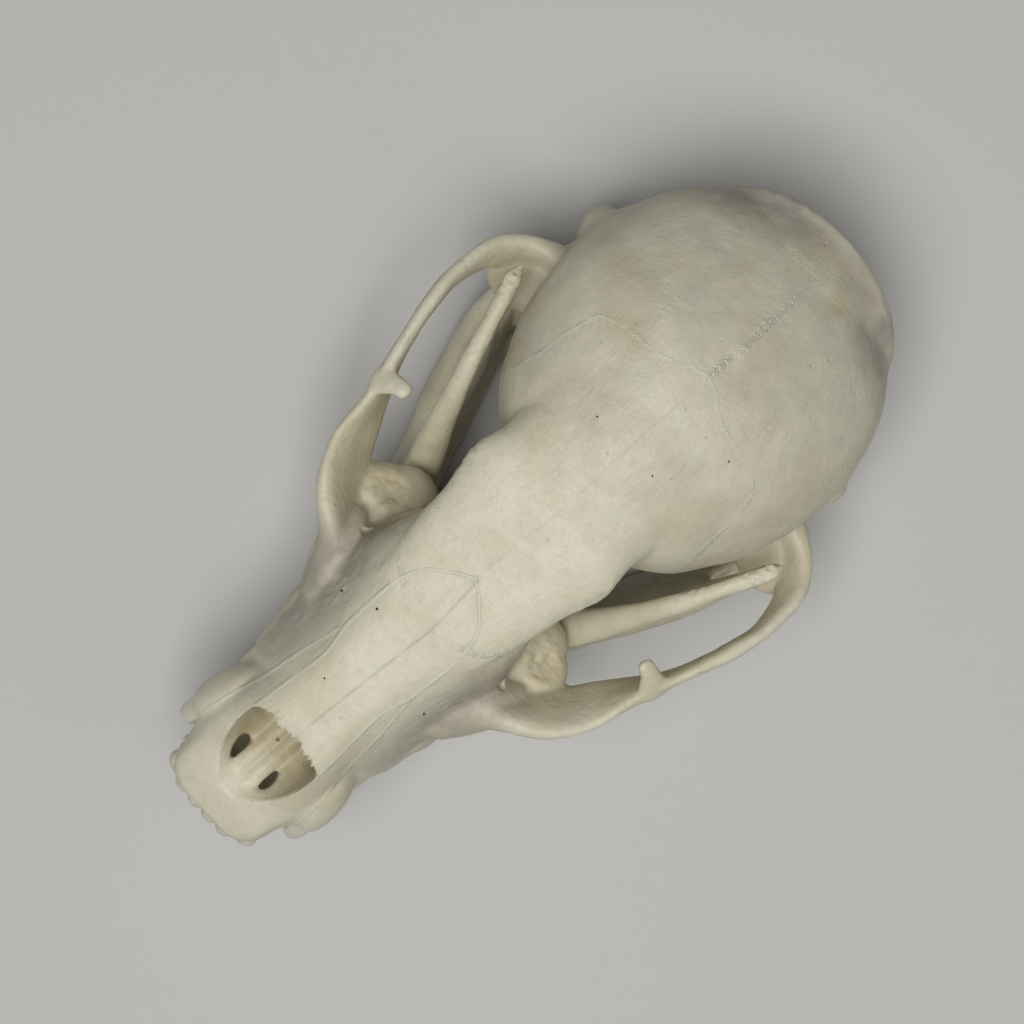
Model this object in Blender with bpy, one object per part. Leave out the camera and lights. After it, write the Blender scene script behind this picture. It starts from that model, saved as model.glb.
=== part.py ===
"""A raccoon skull with its lower jaw, life size, lying as it rests on a flat surface.

Sizes are in millimetres, in the frame of the tooth row: x to the animal's left, y from the
front teeth to the back of the head, z up from the tips of the cheek teeth. The last step
tips that frame to the way the skull rests, and sets it on the floor in metres.
Each bone that a person would name is one closed solid, parted from the next by a thin seam.
"""

import math

import bmesh
import bpy
import numpy as np
from mathutils import Matrix, Vector

MM = 0.001

# How the skull rests: the jaw's lower edge in front, the occipital processes behind.
REST_PITCH_DEG = 13.0
FLAT_DEPTH = 0.25
SEAM = 0.3

# Fineness of the fused bone.
VOXEL = 0.6
ROUNDING = 5
CRANIUM_TRIANGLES = 6800
JAW_TRIANGLES = 1250

# Driving sizes of the cranium.
CREST_Y = 112.0
SNOUT_TIP_Y = 0.7
NASAL_TIP_Y = 15.7
WAIST_Y = 62.5
CASE_HALF_WIDTH = 23.7
ARCH_HALF_WIDTH = 32.5


def smooth_curve(stations, values):
    """A function that passes smoothly through the values, with no overshoot between them."""
    s = np.asarray(stations, float)
    v = np.asarray(values, float)
    if v.ndim == 1:
        v = v[:, None]
    steps = np.diff(s)[:, None]
    slopes = np.diff(v, axis=0) / steps
    tangents = np.zeros_like(v)
    tangents[0], tangents[-1] = slopes[0], slopes[-1]
    before, after = slopes[:-1], slopes[1:]
    same_way = before * after > 0
    mean = 2 * before * after / np.where(same_way, before + after, 1)
    tangents[1:-1] = np.where(same_way, mean, 0)

    def at(t):
        i = int(np.clip(np.searchsorted(s, t) - 1, 0, len(s) - 2))
        h = steps[i]
        u = float(np.clip((t - s[i]) / h[0], 0, 1))
        found = (
            (2 * u**3 - 3 * u**2 + 1) * v[i]
            + (u**3 - 2 * u**2 + u) * h * tangents[i]
            + (3 * u**2 - 2 * u**3) * v[i + 1]
            + (u**3 - u**2) * h * tangents[i + 1]
        )
        return found if len(found) > 1 else float(found[0])

    return at


def rounded(angle, squareness):
    """Cosine and sine of a rounded square: 1 is a circle, and less is squarer."""
    c, s = math.cos(angle), math.sin(angle)
    return (
        math.copysign(abs(c) ** squareness, c),
        math.copysign(abs(s) ** squareness, s),
    )


def object_from(body, name):
    """An object from a closed bmesh, with its faces turned outwards. The bmesh goes."""
    bmesh.ops.recalc_face_normals(body, faces=body.faces)
    if body.calc_volume(signed=True) < 0:
        bmesh.ops.reverse_faces(body, faces=body.faces)
    mesh = bpy.data.meshes.new(name)
    body.to_mesh(mesh)
    body.free()
    thing = bpy.data.objects.new(name, mesh)
    bpy.context.scene.collection.objects.link(thing)
    return thing


def mesh_object(name, points, faces):
    """A mesh object from points in millimetres."""
    body = bmesh.new()
    places = [body.verts.new(tuple(c * MM for c in p)) for p in points]
    for face in faces:
        body.faces.new([places[i] for i in face])
    return object_from(body, name)


def loft(name, rings):
    """A closed skin over rings of equal count, each end closed by a fan about its middle."""
    count = len(rings[0])
    points = [tuple(p) for ring in rings for p in ring]
    faces = []
    for r in range(len(rings) - 1):
        for i in range(count):
            j = (i + 1) % count
            a, b = r * count, (r + 1) * count
            faces.append((a + i, a + j, b + j, b + i))
    for start in (0, (len(rings) - 1) * count):
        ring = points[start : start + count]
        points.append(tuple(sum(c) / count for c in zip(*ring)))
        middle = len(points) - 1
        faces += [(middle, start + i, start + (i + 1) % count) for i in range(count)]
    return mesh_object(name, points, faces)


def trunk(name, stations, table, squareness=0.8, count=40, step=1.0, flare=1.0):
    """A body along y. Each row of the table has a station's half width low down and at the
    roof, the height of its floor and of its roof. Its sides are hollowed where the flare is
    below 1."""
    shape = smooth_curve(stations, table)
    rings = []
    for y in np.arange(stations[0], stations[-1] + 0.01, step):
        low, high, floor, roof = shape(y)
        ring = []
        for i in range(count):
            c, s = rounded(2 * math.pi * i / count, squareness)
            z = (floor + roof) / 2 + s * (roof - floor) / 2
            share = max((z - floor) / (roof - floor), 0) ** flare
            ring.append((c * (low + (high - low) * share), y, z))
        rings.append(ring)
    return loft(name, rings)


def sweep(name, path, side=1, squareness=1.0, count=20, steps=36, blunt=0.6, away_from=None):
    """A bar along a path. Each row has x, y, z, half depth, half thickness and the tilt in
    degrees that leans its lower edge inwards. The ends are rounded over. With a point to
    lead away from, its depth lies along that direction instead of upright."""
    along = [0.0]
    for a, b in zip(path, path[1:]):
        along.append(along[-1] + math.dist(a[:3], b[:3]))
    at = smooth_curve(along, path)
    end = min(blunt, 0.2 * along[-1])
    places = [end * (1 - math.cos(math.pi / 2 * k / 3)) for k in range(3)]
    stations = places + list(np.linspace(end, along[-1] - end, steps))
    stations += [along[-1] - p for p in reversed(places)]
    rings = []
    for t in stations:
        x, y, z, deep, thick, tilt = at(t)
        ahead, behind = at(min(t + 0.05, along[-1])), at(max(t - 0.05, 0))
        forward = Vector(ahead[:3] - behind[:3]).normalized()
        upright = Vector((0, 0, 1))
        if away_from:
            upright = Vector((x, y, z)) - Vector(away_from)
        level = forward.cross(upright).normalized()
        up = level.cross(forward).normalized()
        turned = Matrix.Rotation(math.radians(tilt), 3, forward)
        up, level = turned @ up, turned @ level
        near = min(t, along[-1] - t)
        shrink = math.sqrt(max(1 - (1 - min(near / end, 1)) ** 2, 0.02))
        ring = []
        for i in range(count):
            c, s = rounded(2 * math.pi * i / count, squareness)
            p = Vector((x, y, z)) + level * (c * thick * shrink) + up * (s * deep * shrink)
            ring.append((side * p.x, p.y, p.z))
        rings.append(ring)
    return loft(name, rings)


def ball(name, centre, radii, turn=(0, 0, 0), side=1, detail=4):
    """An ellipsoid with its three radii along axes turned by angles in degrees."""
    body = bmesh.new()
    bmesh.ops.create_icosphere(body, subdivisions=detail, radius=1.0)
    turned = Matrix.Identity(3)
    for axis, angle in zip("XYZ", turn):
        turned = Matrix.Rotation(math.radians(angle), 3, axis) @ turned
    for v in body.verts:
        p = turned @ Vector(c * r for c, r in zip(v.co, radii)) + Vector(centre)
        v.co = Vector((side * p.x, p.y, p.z)) * MM
    return object_from(body, name)


def remove(things):
    """Takes helpers out of the scene."""
    for thing in things:
        bpy.data.objects.remove(thing, do_unlink=True)


def applied(thing):
    """The object with its modifiers made real."""
    graph = bpy.context.evaluated_depsgraph_get()
    made = bpy.data.meshes.new_from_object(thing.evaluated_get(graph))
    thing.modifiers.clear()
    thing.data = made
    return thing


def joined(name, things):
    """One object that holds the meshes of several."""
    body = bmesh.new()
    for thing in things:
        body.from_mesh(thing.data)
    mesh = bpy.data.meshes.new(name)
    body.to_mesh(mesh)
    body.free()
    whole = bpy.data.objects.new(name, mesh)
    bpy.context.scene.collection.objects.link(whole)
    remove(things)
    return whole


def fused(name, things, voxel=VOXEL, rounding=ROUNDING):
    """Overlapping forms grown into one skin, with their meeting lines rounded over."""
    whole = joined(name, things)
    skin = whole.modifiers.new("grow_together", "REMESH")
    skin.mode = "VOXEL"
    skin.voxel_size = voxel * MM
    soft = whole.modifiers.new("round_over", "SMOOTH")
    soft.factor = 0.5
    soft.iterations = rounding
    return applied(whole)


def combined(body, tool, operation, solver="MANIFOLD"):
    """A Boolean of the body with a tool, applied. The tool stays."""
    step = body.modifiers.new(operation.lower(), "BOOLEAN")
    step.operation = operation
    step.solver = solver
    step.object = tool
    return applied(body)


def thinned(thing, triangles):
    """The mesh brought down to a number of triangles."""
    thing.data.calc_loop_triangles()
    step = thing.modifiers.new("thin_out", "DECIMATE")
    step.ratio = min(1.0, triangles / len(thing.data.loop_triangles))
    return applied(thing)


def post(name, centre, half_x, half_y, low, high, lean=(0.0, 0.0), side=1):
    """An upright oval bar between two heights; its top leans away by x and y."""
    rings = []
    for k in range(9):
        share = k / 8
        z = low + (high - low) * share
        ring = []
        for i in range(20):
            c, s = rounded(2 * math.pi * i / 20, 0.9)
            x = centre[0] + lean[0] * share + c * half_x
            y = centre[1] + lean[1] * share + s * half_y
            ring.append((side * x, y, z))
        rings.append(ring)
    return loft(name, rings)


def snout_and_face():
    """The face from the front teeth to the waist behind the eyes."""
    forms = []
    # Nose and upper jaw: tooth-line half width, roof half width, floor, roof.
    forms.append(
        trunk(
            "muzzle",
            (SNOUT_TIP_Y, 1.8, 3.6, 6, 8.2, 10, 12, NASAL_TIP_Y, 20, 25, 30, 35, 40, 45, 49.5),
            (
                (5.2, 4.4, 2.5, 5.6),
                (7.6, 6.4, 2.3, 6.6),
                (8.9, 7.4, 2.4, 8.2),
                (9.6, 7.6, 2.8, 9.9),
                (11.0, 7.6, 3.2, 11.7),
                (12.9, 7.5, 3.5, 13.6),
                (13.9, 7.2, 3.8, 16.2),
                (14.0, 6.6, 4.0, 21.8),
                (13.9, 6.4, 4.1, 23.6),
                (14.1, 6.6, 4.2, 25.2),
                (15.1, 7.2, 4.3, 26.9),
                (16.0, 8.2, 4.5, 28.6),
                (15.8, 9.8, 4.8, 30.4),
                (14.4, 11.0, 5.0, 31.8),
                (11.0, 10.5, 5.2, 32.2),
            ),
            squareness=0.5,
            count=56,
            flare=0.7,
        )
    )
    # Roof between the eye sockets, out to the small processes behind them.
    forms.append(
        trunk(
            "brow",
            (38, 43, 47, 51, 54, 57.5, 60, 62.5, 66, 70, 75),
            (
                (6.4, 10.0, 14.0, 29.6),
                (6.2, 11.7, 14.0, 31.4),
                (6.0, 12.6, 14.0, 32.8),
                (6.0, 13.2, 14.5, 34.0),
                (6.2, 14.2, 15.0, 35.0),
                (6.8, 15.0, 15.5, 36.2),
                (7.8, 14.2, 15.0, 37.0),
                (9.0, 13.4, 14.0, 37.8),
                (11.0, 13.4, 14.0, 38.9),
                (12.0, 14.5, 14.0, 39.9),
                (12.0, 15.5, 14.0, 40.8),
            ),
            squareness=0.66,
        )
    )
    # Wall between the eye sockets, and the narrow roof of the throat behind the palate.
    forms.append(
        trunk(
            "midwall",
            (42, 48, 54, 60, 64, 70),
            (
                (10.0, 10.5, 5.0, 31.0),
                (9.0, 9.6, 5.0, 32.5),
                (7.6, 9.0, 5.2, 34.0),
                (7.2, 9.6, 5.5, 35.0),
                (7.6, 11.0, 6.0, 36.0),
                (8.0, 14.0, 6.0, 37.0),
            ),
            squareness=0.8,
        )
    )
    for side in (1, -1):
        # Bone over the molars, which is the floor of the eye socket.
        forms.append(ball("molar_shelf", (12.6, 43.2, 8.0), (6.8, 10.4, 4.6), (0, 0, -6), side))
        forms.append(ball("shelf_corner", (16.2, 44.6, 8.8), (4.2, 6.4, 3.4), (0, 0, -10), side))
        # Root of the upper canine, a long swelling in the side of the muzzle.
        forms.append(
            ball("canine_root", (10.5, 13.4, 8.8), (1.9, 3.0, 6.2), (-36, -14, 0), side)
        )
        # Bone in front of the eye socket, whose rear edge the socket cuts.
        forms.append(ball("tear_bone", (8.6, 37.0, 18.0), (6.0, 9.0, 10.0), (0, -14, -8), side))
        forms.append(ball("cheek_root", (13.6, 36.4, 11.0), (3.6, 8.0, 6.0), (0, 0, -24), side))
    return forms


def braincase():
    """The rounded case of the brain, with its base."""
    return [
        trunk(
            "case",
            (
                WAIST_Y - 0.5,
                WAIST_Y + 1,
                WAIST_Y + 3,
                68,
                71,
                75,
                80,
                85,
                90,
                95,
                100,
                104,
                107,
                109.3,
            ),
            (
                (8.4, 9.4, 12.0, 35.5),
                (12.2, 12.8, 10.5, 37.8),
                (15.3, 15.6, 9.3, 39.0),
                (17.7, 17.9, 8.4, 40.0),
                (19.4, 19.6, 7.6, 40.9),
                (21.4, 21.6, 6.8, 41.8),
                (22.9, 23.1, 6.3, 42.5),
                (CASE_HALF_WIDTH - 0.2, CASE_HALF_WIDTH + 0.1, 6.0, 42.7),
                (CASE_HALF_WIDTH - 0.2, CASE_HALF_WIDTH + 0.1, 6.0, 42.2),
                (22.6, 22.9, 6.0, 41.0),
                (20.8, 21.2, 6.2, 39.3),
                (18.5, 18.9, 6.8, 37.0),
                (15.8, 16.2, 8.0, 34.4),
                (12.4, 12.6, 10.0, 31.6),
            ),
            squareness=0.88,
            count=56,
        ),
        trunk(
            "skull_base",
            (64, 74, 84, 94, 106),
            (
                (6.0, 8.0, 4.8, 12.0),
                (6.0, 9.0, 4.6, 12.0),
                (6.5, 12.0, 4.6, 12.0),
                (9.0, 14.0, 4.4, 12.0),
                (9.0, 13.0, 5.0, 12.0),
            ),
            squareness=0.7,
        ),
    ]


def occiput():
    """The back of the head: its plate, the crest round it, the condyles and processes."""
    forms = [
        trunk(
            "back_plate",
            (94, 98, 101, 104, 106.6, 108.4),
            (
                (22.4, 16.0, 5.4, 33.0),
                (21.0, 14.6, 5.5, 33.4),
                (19.6, 13.2, 5.6, 33.4),
                (18.0, 11.8, 6.2, 33.2),
                (15.6, 10.4, 7.4, 32.4),
                (12.5, 9.0, 9.5, 30.5),
            ),
            squareness=0.66,
        )
    ]
    crest = (
        (23.6, 92.0, 8.0, 3.0, 1.6, 0),
        (21.8, 94.8, 12.6, 3.0, 1.3, 0),
        (19.6, 97.6, 17.4, 3.0, 1.2, 0),
        (17.4, 100.6, 21.4, 3.0, 1.2, 0),
        (15.0, 103.4, 24.8, 3.0, 1.2, 0),
        (12.2, 106.0, 28.2, 3.0, 1.2, 0),
        (9.0, CREST_Y - 4.1, 30.4, 3.0, 1.3, 0),
        (4.4, CREST_Y - 3.0, 31.4, 3.0, 1.3, 0),
        (0.0, CREST_Y - 2.6, 31.8, 3.0, 1.4, 0),
        (-4.0, CREST_Y - 2.9, 31.4, 3.0, 1.3, 0),
    )
    for side in (1, -1):
        forms.append(sweep("crest", crest, side, steps=60, away_from=(0, 84.0, 14.0)))
        forms.append(
            ball("condyle", (7.2, 108.0, 9.4), (3.9, 4.0, 5.4), (-25, 20, 0), side)
        )
        forms.append(
            sweep(
                "mastoid",
                (
                    (21.2, 92.5, 12.0, 4.6, 4.2, 0),
                    (23.0, 94.0, 7.6, 3.8, 3.2, 0),
                    (23.9, 95.0, 2.8, 2.4, 1.9, 0),
                ),
                side,
                blunt=2.0,
            )
        )
        forms.append(ball("mastoid_body", (19.5, 92.6, 11.5), (5.4, 6.4, 6.4), side=side))
        forms.append(
            sweep(
                "side_process",
                (
                    (15.0, 99.5, 9.0, 4.4, 4.0, 0),
                    (16.2, 101.0, 3.0, 3.0, 2.4, 0),
                    (16.8, 102.2, -3.0, 1.9, 1.5, 0),
                ),
                side,
                blunt=1.5,
            )
        )
    return forms


def ear_region(side):
    """The rounded chamber under the ear, with its short bony tube."""
    return [
        ball("bulla", (11.8, 89.4, 5.0), (6.6, 8.6, 6.6), (0, 0, -18), side),
        sweep(
            "ear_tube",
            (
                (15.0, 88.0, 8.0, 5.0, 4.6, 0),
                (20.5, 88.4, 9.4, 4.0, 3.6, 0),
                (24.0, 88.4, 10.2, 3.4, 3.0, 0),
            ),
            side,
        ),
    ]


def cheek_arch(side):
    """The arch from the upper jaw, under the eye, back to the ear."""
    arch = (
        (13.6, 37.4, 10.5, 5.0, 4.0, 0),
        (17.2, 40.2, 12.4, 5.6, 2.2, 22),
        (20.7, 43.6, 13.2, 5.6, 1.6, 34),
        (23.6, 47.9, 13.8, 5.0, 1.3, 34),
        (25.6, 52.8, 15.4, 4.2, 1.2, 22),
        (27.6, 57.5, 17.6, 3.2, 1.15, 8),
        (29.3, 62.5, 18.8, 2.5, 1.1, 4),
        (ARCH_HALF_WIDTH - 1.8, 67.5, 19.0, 2.4, 1.15, 2),
        (ARCH_HALF_WIDTH - 1.1, 72.0, 18.5, 2.6, 1.1, 0),
        (ARCH_HALF_WIDTH - 1.4, 76.6, 17.4, 2.7, 1.1, 0),
        (30.0, 80.0, 16.6, 2.6, 1.2, 0),
        (27.4, 82.8, 16.0, 2.6, 1.4, 0),
        (23.5, 84.6, 15.8, 2.8, 2.2, 0),
        (19.5, 85.2, 15.4, 3.0, 3.0, 0),
    )
    forms = [sweep("arch", arch, side, squareness=0.78, count=28, steps=72)]
    # The broad shelf in front of the ear, over the jaw's joint.
    forms.append(ball("root_shelf", (24.6, 81.0, 13.9), (6.6, 5.3, 2.2), (4, 14, -12), side))
    forms.append(ball("shelf_fill", (22.4, 82.2, 12.8), (6.4, 4.8, 2.9), (0, 10, 0), side))
    forms.append(ball("joint_back_lip", (20.5, 87.2, 9.2), (6.0, 1.7, 3.2), side=side))
    # The hook that marks the back of the eye socket.
    forms.append(
        sweep(
            "hook",
            (
                (28.0, 55.6, 18.0, 1.7, 3.0, 0),
                (26.6, 56.0, 19.8, 1.3, 2.1, 0),
                (25.0, 56.4, 21.2, 1.15, 1.4, 0),
                (23.2, 56.6, 22.0, 1.1, 1.2, 0),
            ),
            side,
        )
    )
    return forms


def throat_walls():
    """The thin walls on both sides of the inner nostrils, with their hooks."""
    forms = []
    for side in (1, -1):
        wall = (
            (6.6, 58.0, 8.0, 3.4, 1.2, 0),
            (6.6, 66.0, 7.6, 4.4, 1.1, 0),
            (6.6, 73.0, 6.8, 4.6, 1.1, 0),
            (6.9, 77.0, 4.4, 2.6, 1.0, 0),
            (7.4, 79.4, 2.6, 1.2, 0.9, 0),
        )
        forms.append(sweep("throat_wall", wall, side))
    return forms


def hollows():
    """What is open: eye sockets, nose, the tunnels in the face, the spine's way in."""
    tools = [
        trunk(
            "nose_opening",
            (3.2, 4.6, 6, 8, 11, NASAL_TIP_Y - 1.1, NASAL_TIP_Y + 0.1, 22, 30),
            (
                (2.0, 3.0, 8.0, 30.0),
                (3.6, 4.8, 8.3, 30.0),
                (4.8, 6.0, 8.5, 30.0),
                (5.8, 6.7, 8.6, 30.0),
                (6.2, 6.7, 8.7, 30.0),
                (6.2, 6.2, 8.8, 30.0),
                (6.0, 5.2, 8.8, 20.4),
                (5.6, 5.0, 9.0, 21.6),
                (4.4, 3.8, 11.0, 22.0),
            ),
            squareness=0.72,
        ),
        ball("spine_way", (0, 110.6, 15.6), (6.8, 9.0, 5.8)),
        trunk(
            "inner_nostrils",
            (60, 66, 74, 84),
            (
                (3.6, 3.2, 6.0, 9.0),
                (4.8, 4.2, 4.2, 12.0),
                (5.2, 4.8, -1.0, 11.4),
                (5.2, 4.8, -8.0, 3.0),
            ),
        ),
    ]
    for side in (1, -1):
        tools.append(
            ball("socket", (17.6, 49.6, 21.0), (6.4, 8.8, 10.4), (0, 12, -10), side)
        )
        tools.append(
            sweep(
                "face_tunnel",
                (
                    (14.2, 25.5, 10.6, 1.7, 1.3, 0),
                    (15.8, 31.5, 11.2, 1.8, 1.3, 0),
                    (16.6, 38.0, 11.6, 1.6, 1.2, 0),
                ),
                side,
            )
        )
        tools.append(post("palate_slot", (2.7, 9.9), 1.05, 2.1, 0.5, 10.5, side=side))
        tools.append(
            sweep(
                "ear_hole",
                (
                    (18.5, 88.2, 9.2, 1.9, 1.9, 0),
                    (28.0, 88.4, 10.8, 2.2, 2.2, 0),
                ),
                side,
            )
        )
    return tools


def cranium():
    """The whole upper skull as one skin, with its openings."""
    forms = snout_and_face() + braincase() + occiput() + throat_walls()
    for side in (1, -1):
        forms += ear_region(side) + cheek_arch(side)
    whole = fused("cranium", forms)
    tool = fused("openings", hollows(), rounding=2)
    combined(whole, tool, "DIFFERENCE")
    remove([tool])
    return fused("cranium_skin", [whole], rounding=3)


def jaw(side):
    """One half of the lower jaw, without its teeth."""
    body = (
        (3.4, 3.4, -6.4, 2.8, 3.2, 0),
        (4.1, 6.0, -7.4, 4.4, 4.3, 0),
        (4.5, 10.0, -8.8, 5.2, 4.6, 0),
        (5.3, 14.5, -9.6, 5.6, 4.2, 0),
        (6.7, 19.0, -10.0, 5.8, 3.4, 0),
        (8.3, 25.0, -10.2, 6.1, 2.9, 0),
        (9.7, 33.0, -10.3, 6.3, 2.9, 0),
        (11.4, 41.0, -10.0, 6.4, 2.9, 0),
        (12.9, 48.0, -8.8, 6.2, 2.5, 0),
        (14.9, 54.5, -7.0, 5.4, 2.0, 0),
        (17.4, 62.0, -5.4, 4.8, 2.0, 0),
        (20.2, 70.0, -3.6, 4.6, 2.2, 0),
        (21.8, 78.0, -1.6, 3.8, 1.8, 0),
    )
    forms = [sweep("body", body, side, squareness=0.85, steps=64, blunt=1.6)]
    # The upright blade: front and back edge and half thickness at each height.
    heights = (-10, -6, -2, 2, 6, 9, 11, 14, 17, 20, 22.2, 23.6)
    edges = (
        (47.0, 62.0, 1.3),
        (48.0, 72.0, 1.4),
        (51.0, 78.5, 1.4),
        (53.8, 79.6, 1.3),
        (56.4, 80.0, 1.2),
        (58.4, 75.6, 1.1),
        (59.8, 73.0, 1.1),
        (62.2, 72.4, 1.0),
        (65.2, 73.2, 1.0),
        (68.8, 76.2, 1.0),
        (72.8, 79.0, 0.9),
        (76.8, 79.0, 0.6),
    )
    blade = smooth_curve(heights, edges)
    rings = []
    for z in np.arange(heights[0], heights[-1] + 0.01, 1.14):
        front, back, thick = blade(z)
        ring = []
        for i in range(36):
            c, s = rounded(2 * math.pi * i / 36, 0.8)
            y = (front + back) / 2 + c * (back - front) / 2
            x = 12.9 + 0.36 * (y - 52.0) + 0.16 * z + s * thick
            ring.append((side * x, y, z))
        rings.append(ring)
    forms.append(loft("blade", rings))
    # The thick front edge of the blade.
    front_edge = (
        (13.0, 51.0, -3.0, 2.4, 2.8, 0),
        (15.6, 55.2, 5.0, 2.2, 2.5, 0),
        (18.4, 60.2, 12.0, 1.7, 1.9, 0),
        (20.9, 65.4, 17.4, 1.3, 1.4, 0),
        (23.4, 71.2, 21.0, 1.1, 1.15, 0),
        (26.3, 78.3, 23.3, 1.15, 1.15, 0),
    )
    forms.append(sweep("front_edge", front_edge, side))
    # The rim under the hollow for the chewing muscle, up to the joint's outer end.
    rim = (
        (14.6, 49.0, -10.6, 2.4, 2.0, 0),
        (16.4, 53.2, -9.8, 2.4, 1.9, 0),
        (18.4, 57.7, -8.6, 2.4, 1.9, 0),
        (20.6, 62.0, -7.2, 2.4, 1.9, 0),
        (22.8, 67.0, -5.4, 2.3, 1.9, 0),
        (24.8, 72.0, -2.6, 2.2, 1.8, 0),
        (25.6, 76.0, 0.6, 2.0, 1.8, 0),
        (25.8, 79.8, 4.4, 1.8, 1.7, 0),
    )
    forms.append(sweep("muscle_rim", rim, side))
    # The joint's cross roller, and the small hook under it.
    forms.append(ball("roller", (22.2, 82.0, 7.0), (6.0, 2.3, 2.3), (0, -4, 4), side))
    forms.append(ball("roller_neck", (22.2, 79.8, 5.0), (4.0, 3.2, 3.2), side=side))
    hook = (
        (21.0, 72.0, -4.4, 3.0, 1.5, 0),
        (20.6, 79.0, -4.4, 2.2, 1.4, 0),
        (19.6, 85.0, -3.4, 1.4, 1.1, 0),
    )
    forms.append(sweep("angle_hook", hook, side))
    whole = fused("jaw_skin", forms, rounding=3)
    saw_cut(whole, (-side * (10.0 - SEAM / 2), 20.0, -6.0), (20.0, 80.0, 40.0), (0, 0, 0))
    return largest(whole, "jaw_skin")


def turned_ring(place, turn, offsets, side):
    """Points about a place, turned in plan by an angle in degrees."""
    c, s = math.cos(math.radians(turn)), math.sin(math.radians(turn))
    return [
        (side * (place[0] + c * u - s * v), place[1] + s * u + c * v, z)
        for u, v, z in offsets
    ]


def cheek_tooth(name, tooth, side, tip, down, count=8):
    """A premolar or molar: a root sunk in the bone, a rounded crown and its cusps."""
    x, y, long, wide, tall, turn, cusps = tooth
    layers = (
        (tall + 4.5, 0.7),
        (tall + 0.4, 0.92),
        (0.46 * tall, 1.0),
    )
    rings = []
    for rise, scale in layers:
        ring = []
        for i in range(count):
            c, s = rounded(2 * math.pi * i / count, 0.72)
            ring.append((c * wide / 2 * scale, s * long / 2 * scale, tip - down * rise))
        rings.append(turned_ring((x, y), turn, ring, side))
    chewing = []
    for scale in (0.8, 0.34):
        ring = []
        for i in range(count):
            c, s = rounded(2 * math.pi * i / count, 0.9)
            u, v = c * scale, s * scale
            peak = max(
                high * math.exp(-((u - cu) ** 2 + (v - cv) ** 2) / 0.16)
                for cu, cv, high in cusps
            )
            rise = tall * 0.26 * (1 - peak)
            ring.append((u * wide / 2, v * long / 2, tip - down * rise))
        chewing.append(turned_ring((x, y), turn, ring, side))
    return loft(name, rings + chewing)


def front_tooth(name, tooth, side, tip, down, count=6):
    """An incisor: a root, and a crown that thins to a cutting edge."""
    x, y, wide, deep, tall, turn, slope = tooth
    layers = (
        (tall + 4.0, 0.6, 0.7, 1.0),
        (tall + 0.4, 0.76, 0.95, 0.35),
        (0.6 * tall, 0.96, 1.0, 0.1),
        (0.22 * tall, 1.0, 0.62, -0.1),
        (0.0, 0.72, 0.26, -0.3),
    )
    rings = []
    for rise, across, along, back in layers:
        ring = []
        for i in range(count):
            c, s = rounded(2 * math.pi * i / count, 0.8)
            v = s * deep / 2 * along + back * slope
            ring.append((c * wide / 2 * across, v, tip - down * rise))
        rings.append(turned_ring((x, y), turn, ring, side))
    return loft(name, rings)


def fang(name, path, side, count=9, steps=6):
    """A canine: a bent cone along a path of x, y, z, half length and half width."""
    at = smooth_curve(range(len(path)), path)
    rings = []
    for t in np.linspace(0, len(path) - 1, steps):
        x, y, z, long, wide = at(t)
        ring = []
        for i in range(count):
            angle = 2 * math.pi * i / count
            ring.append((side * (x + math.cos(angle) * wide), y + math.sin(angle) * long, z))
        rings.append(ring)
    return loft(name, rings)


# Cusps of the cheek teeth: place across and along the crown, and height.
ONE_POINT = ((0.33, 0.0, 1.0),)
LOWER_POINT = ((0.0, 0.0, 1.0),)
FOUR_POINTS = ((0.58, -0.58, 1.0), (0.58, 0.58, 0.95), (-0.58, -0.58, 0.85), (-0.58, 0.58, 0.7))

# Cheek teeth: x, y, length, width, height of crown, turn, cusps.
UPPER_CHEEK_TEETH = {
    "premolar_1": (9.7, 14.4, 3.2, 2.4, 3.0, 6, ONE_POINT),
    "premolar_2": (9.9, 18.4, 4.4, 2.9, 3.6, 3, ONE_POINT),
    "premolar_3": (10.0, 23.4, 5.3, 4.0, 4.0, -2, ONE_POINT),
    "premolar_4": (10.1, 29.9, 7.6, 7.0, 4.2, -6, FOUR_POINTS),
    "molar_1": (11.0, 37.9, 8.2, 8.2, 4.0, 0, FOUR_POINTS),
    "molar_2": (11.3, 45.1, 6.0, 7.4, 3.4, 8, FOUR_POINTS),
}
LOWER_CHEEK_TEETH = {
    "premolar_1": (6.7, 12.0, 2.6, 2.0, 2.4, 14, LOWER_POINT),
    "premolar_2": (7.5, 15.5, 4.2, 2.5, 3.2, 14, LOWER_POINT),
    "premolar_3": (8.4, 20.2, 5.0, 2.9, 3.6, 10, LOWER_POINT),
    "premolar_4": (9.2, 25.9, 6.2, 3.9, 3.8, 8, LOWER_POINT),
    "molar_1": (10.2, 34.0, 9.8, 4.9, 3.9, 8, FOUR_POINTS),
    "molar_2": (11.9, 42.9, 7.9, 4.6, 3.3, 12, FOUR_POINTS),
}
# Front teeth: x, y, width, depth, height of crown, turn, slope.
UPPER_FRONT_TEETH = {
    "incisor_1": (1.4, 1.2, 2.7, 2.6, 3.4, 3, 1.0),
    "incisor_2": (4.1, 1.5, 2.7, 2.8, 3.6, 10, 1.0),
    "incisor_3": (6.8, 2.9, 3.0, 3.2, 4.2, 36, 1.0),
}
LOWER_FRONT_TEETH = {
    "incisor_1": (1.15, 3.6, 1.9, 2.2, 3.2, 4, 0.8),
    "incisor_2": (3.0, 3.8, 1.9, 2.4, 3.3, 8, 0.8),
    "incisor_3": (4.9, 4.4, 2.1, 2.6, 3.4, 20, 0.8),
}
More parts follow.
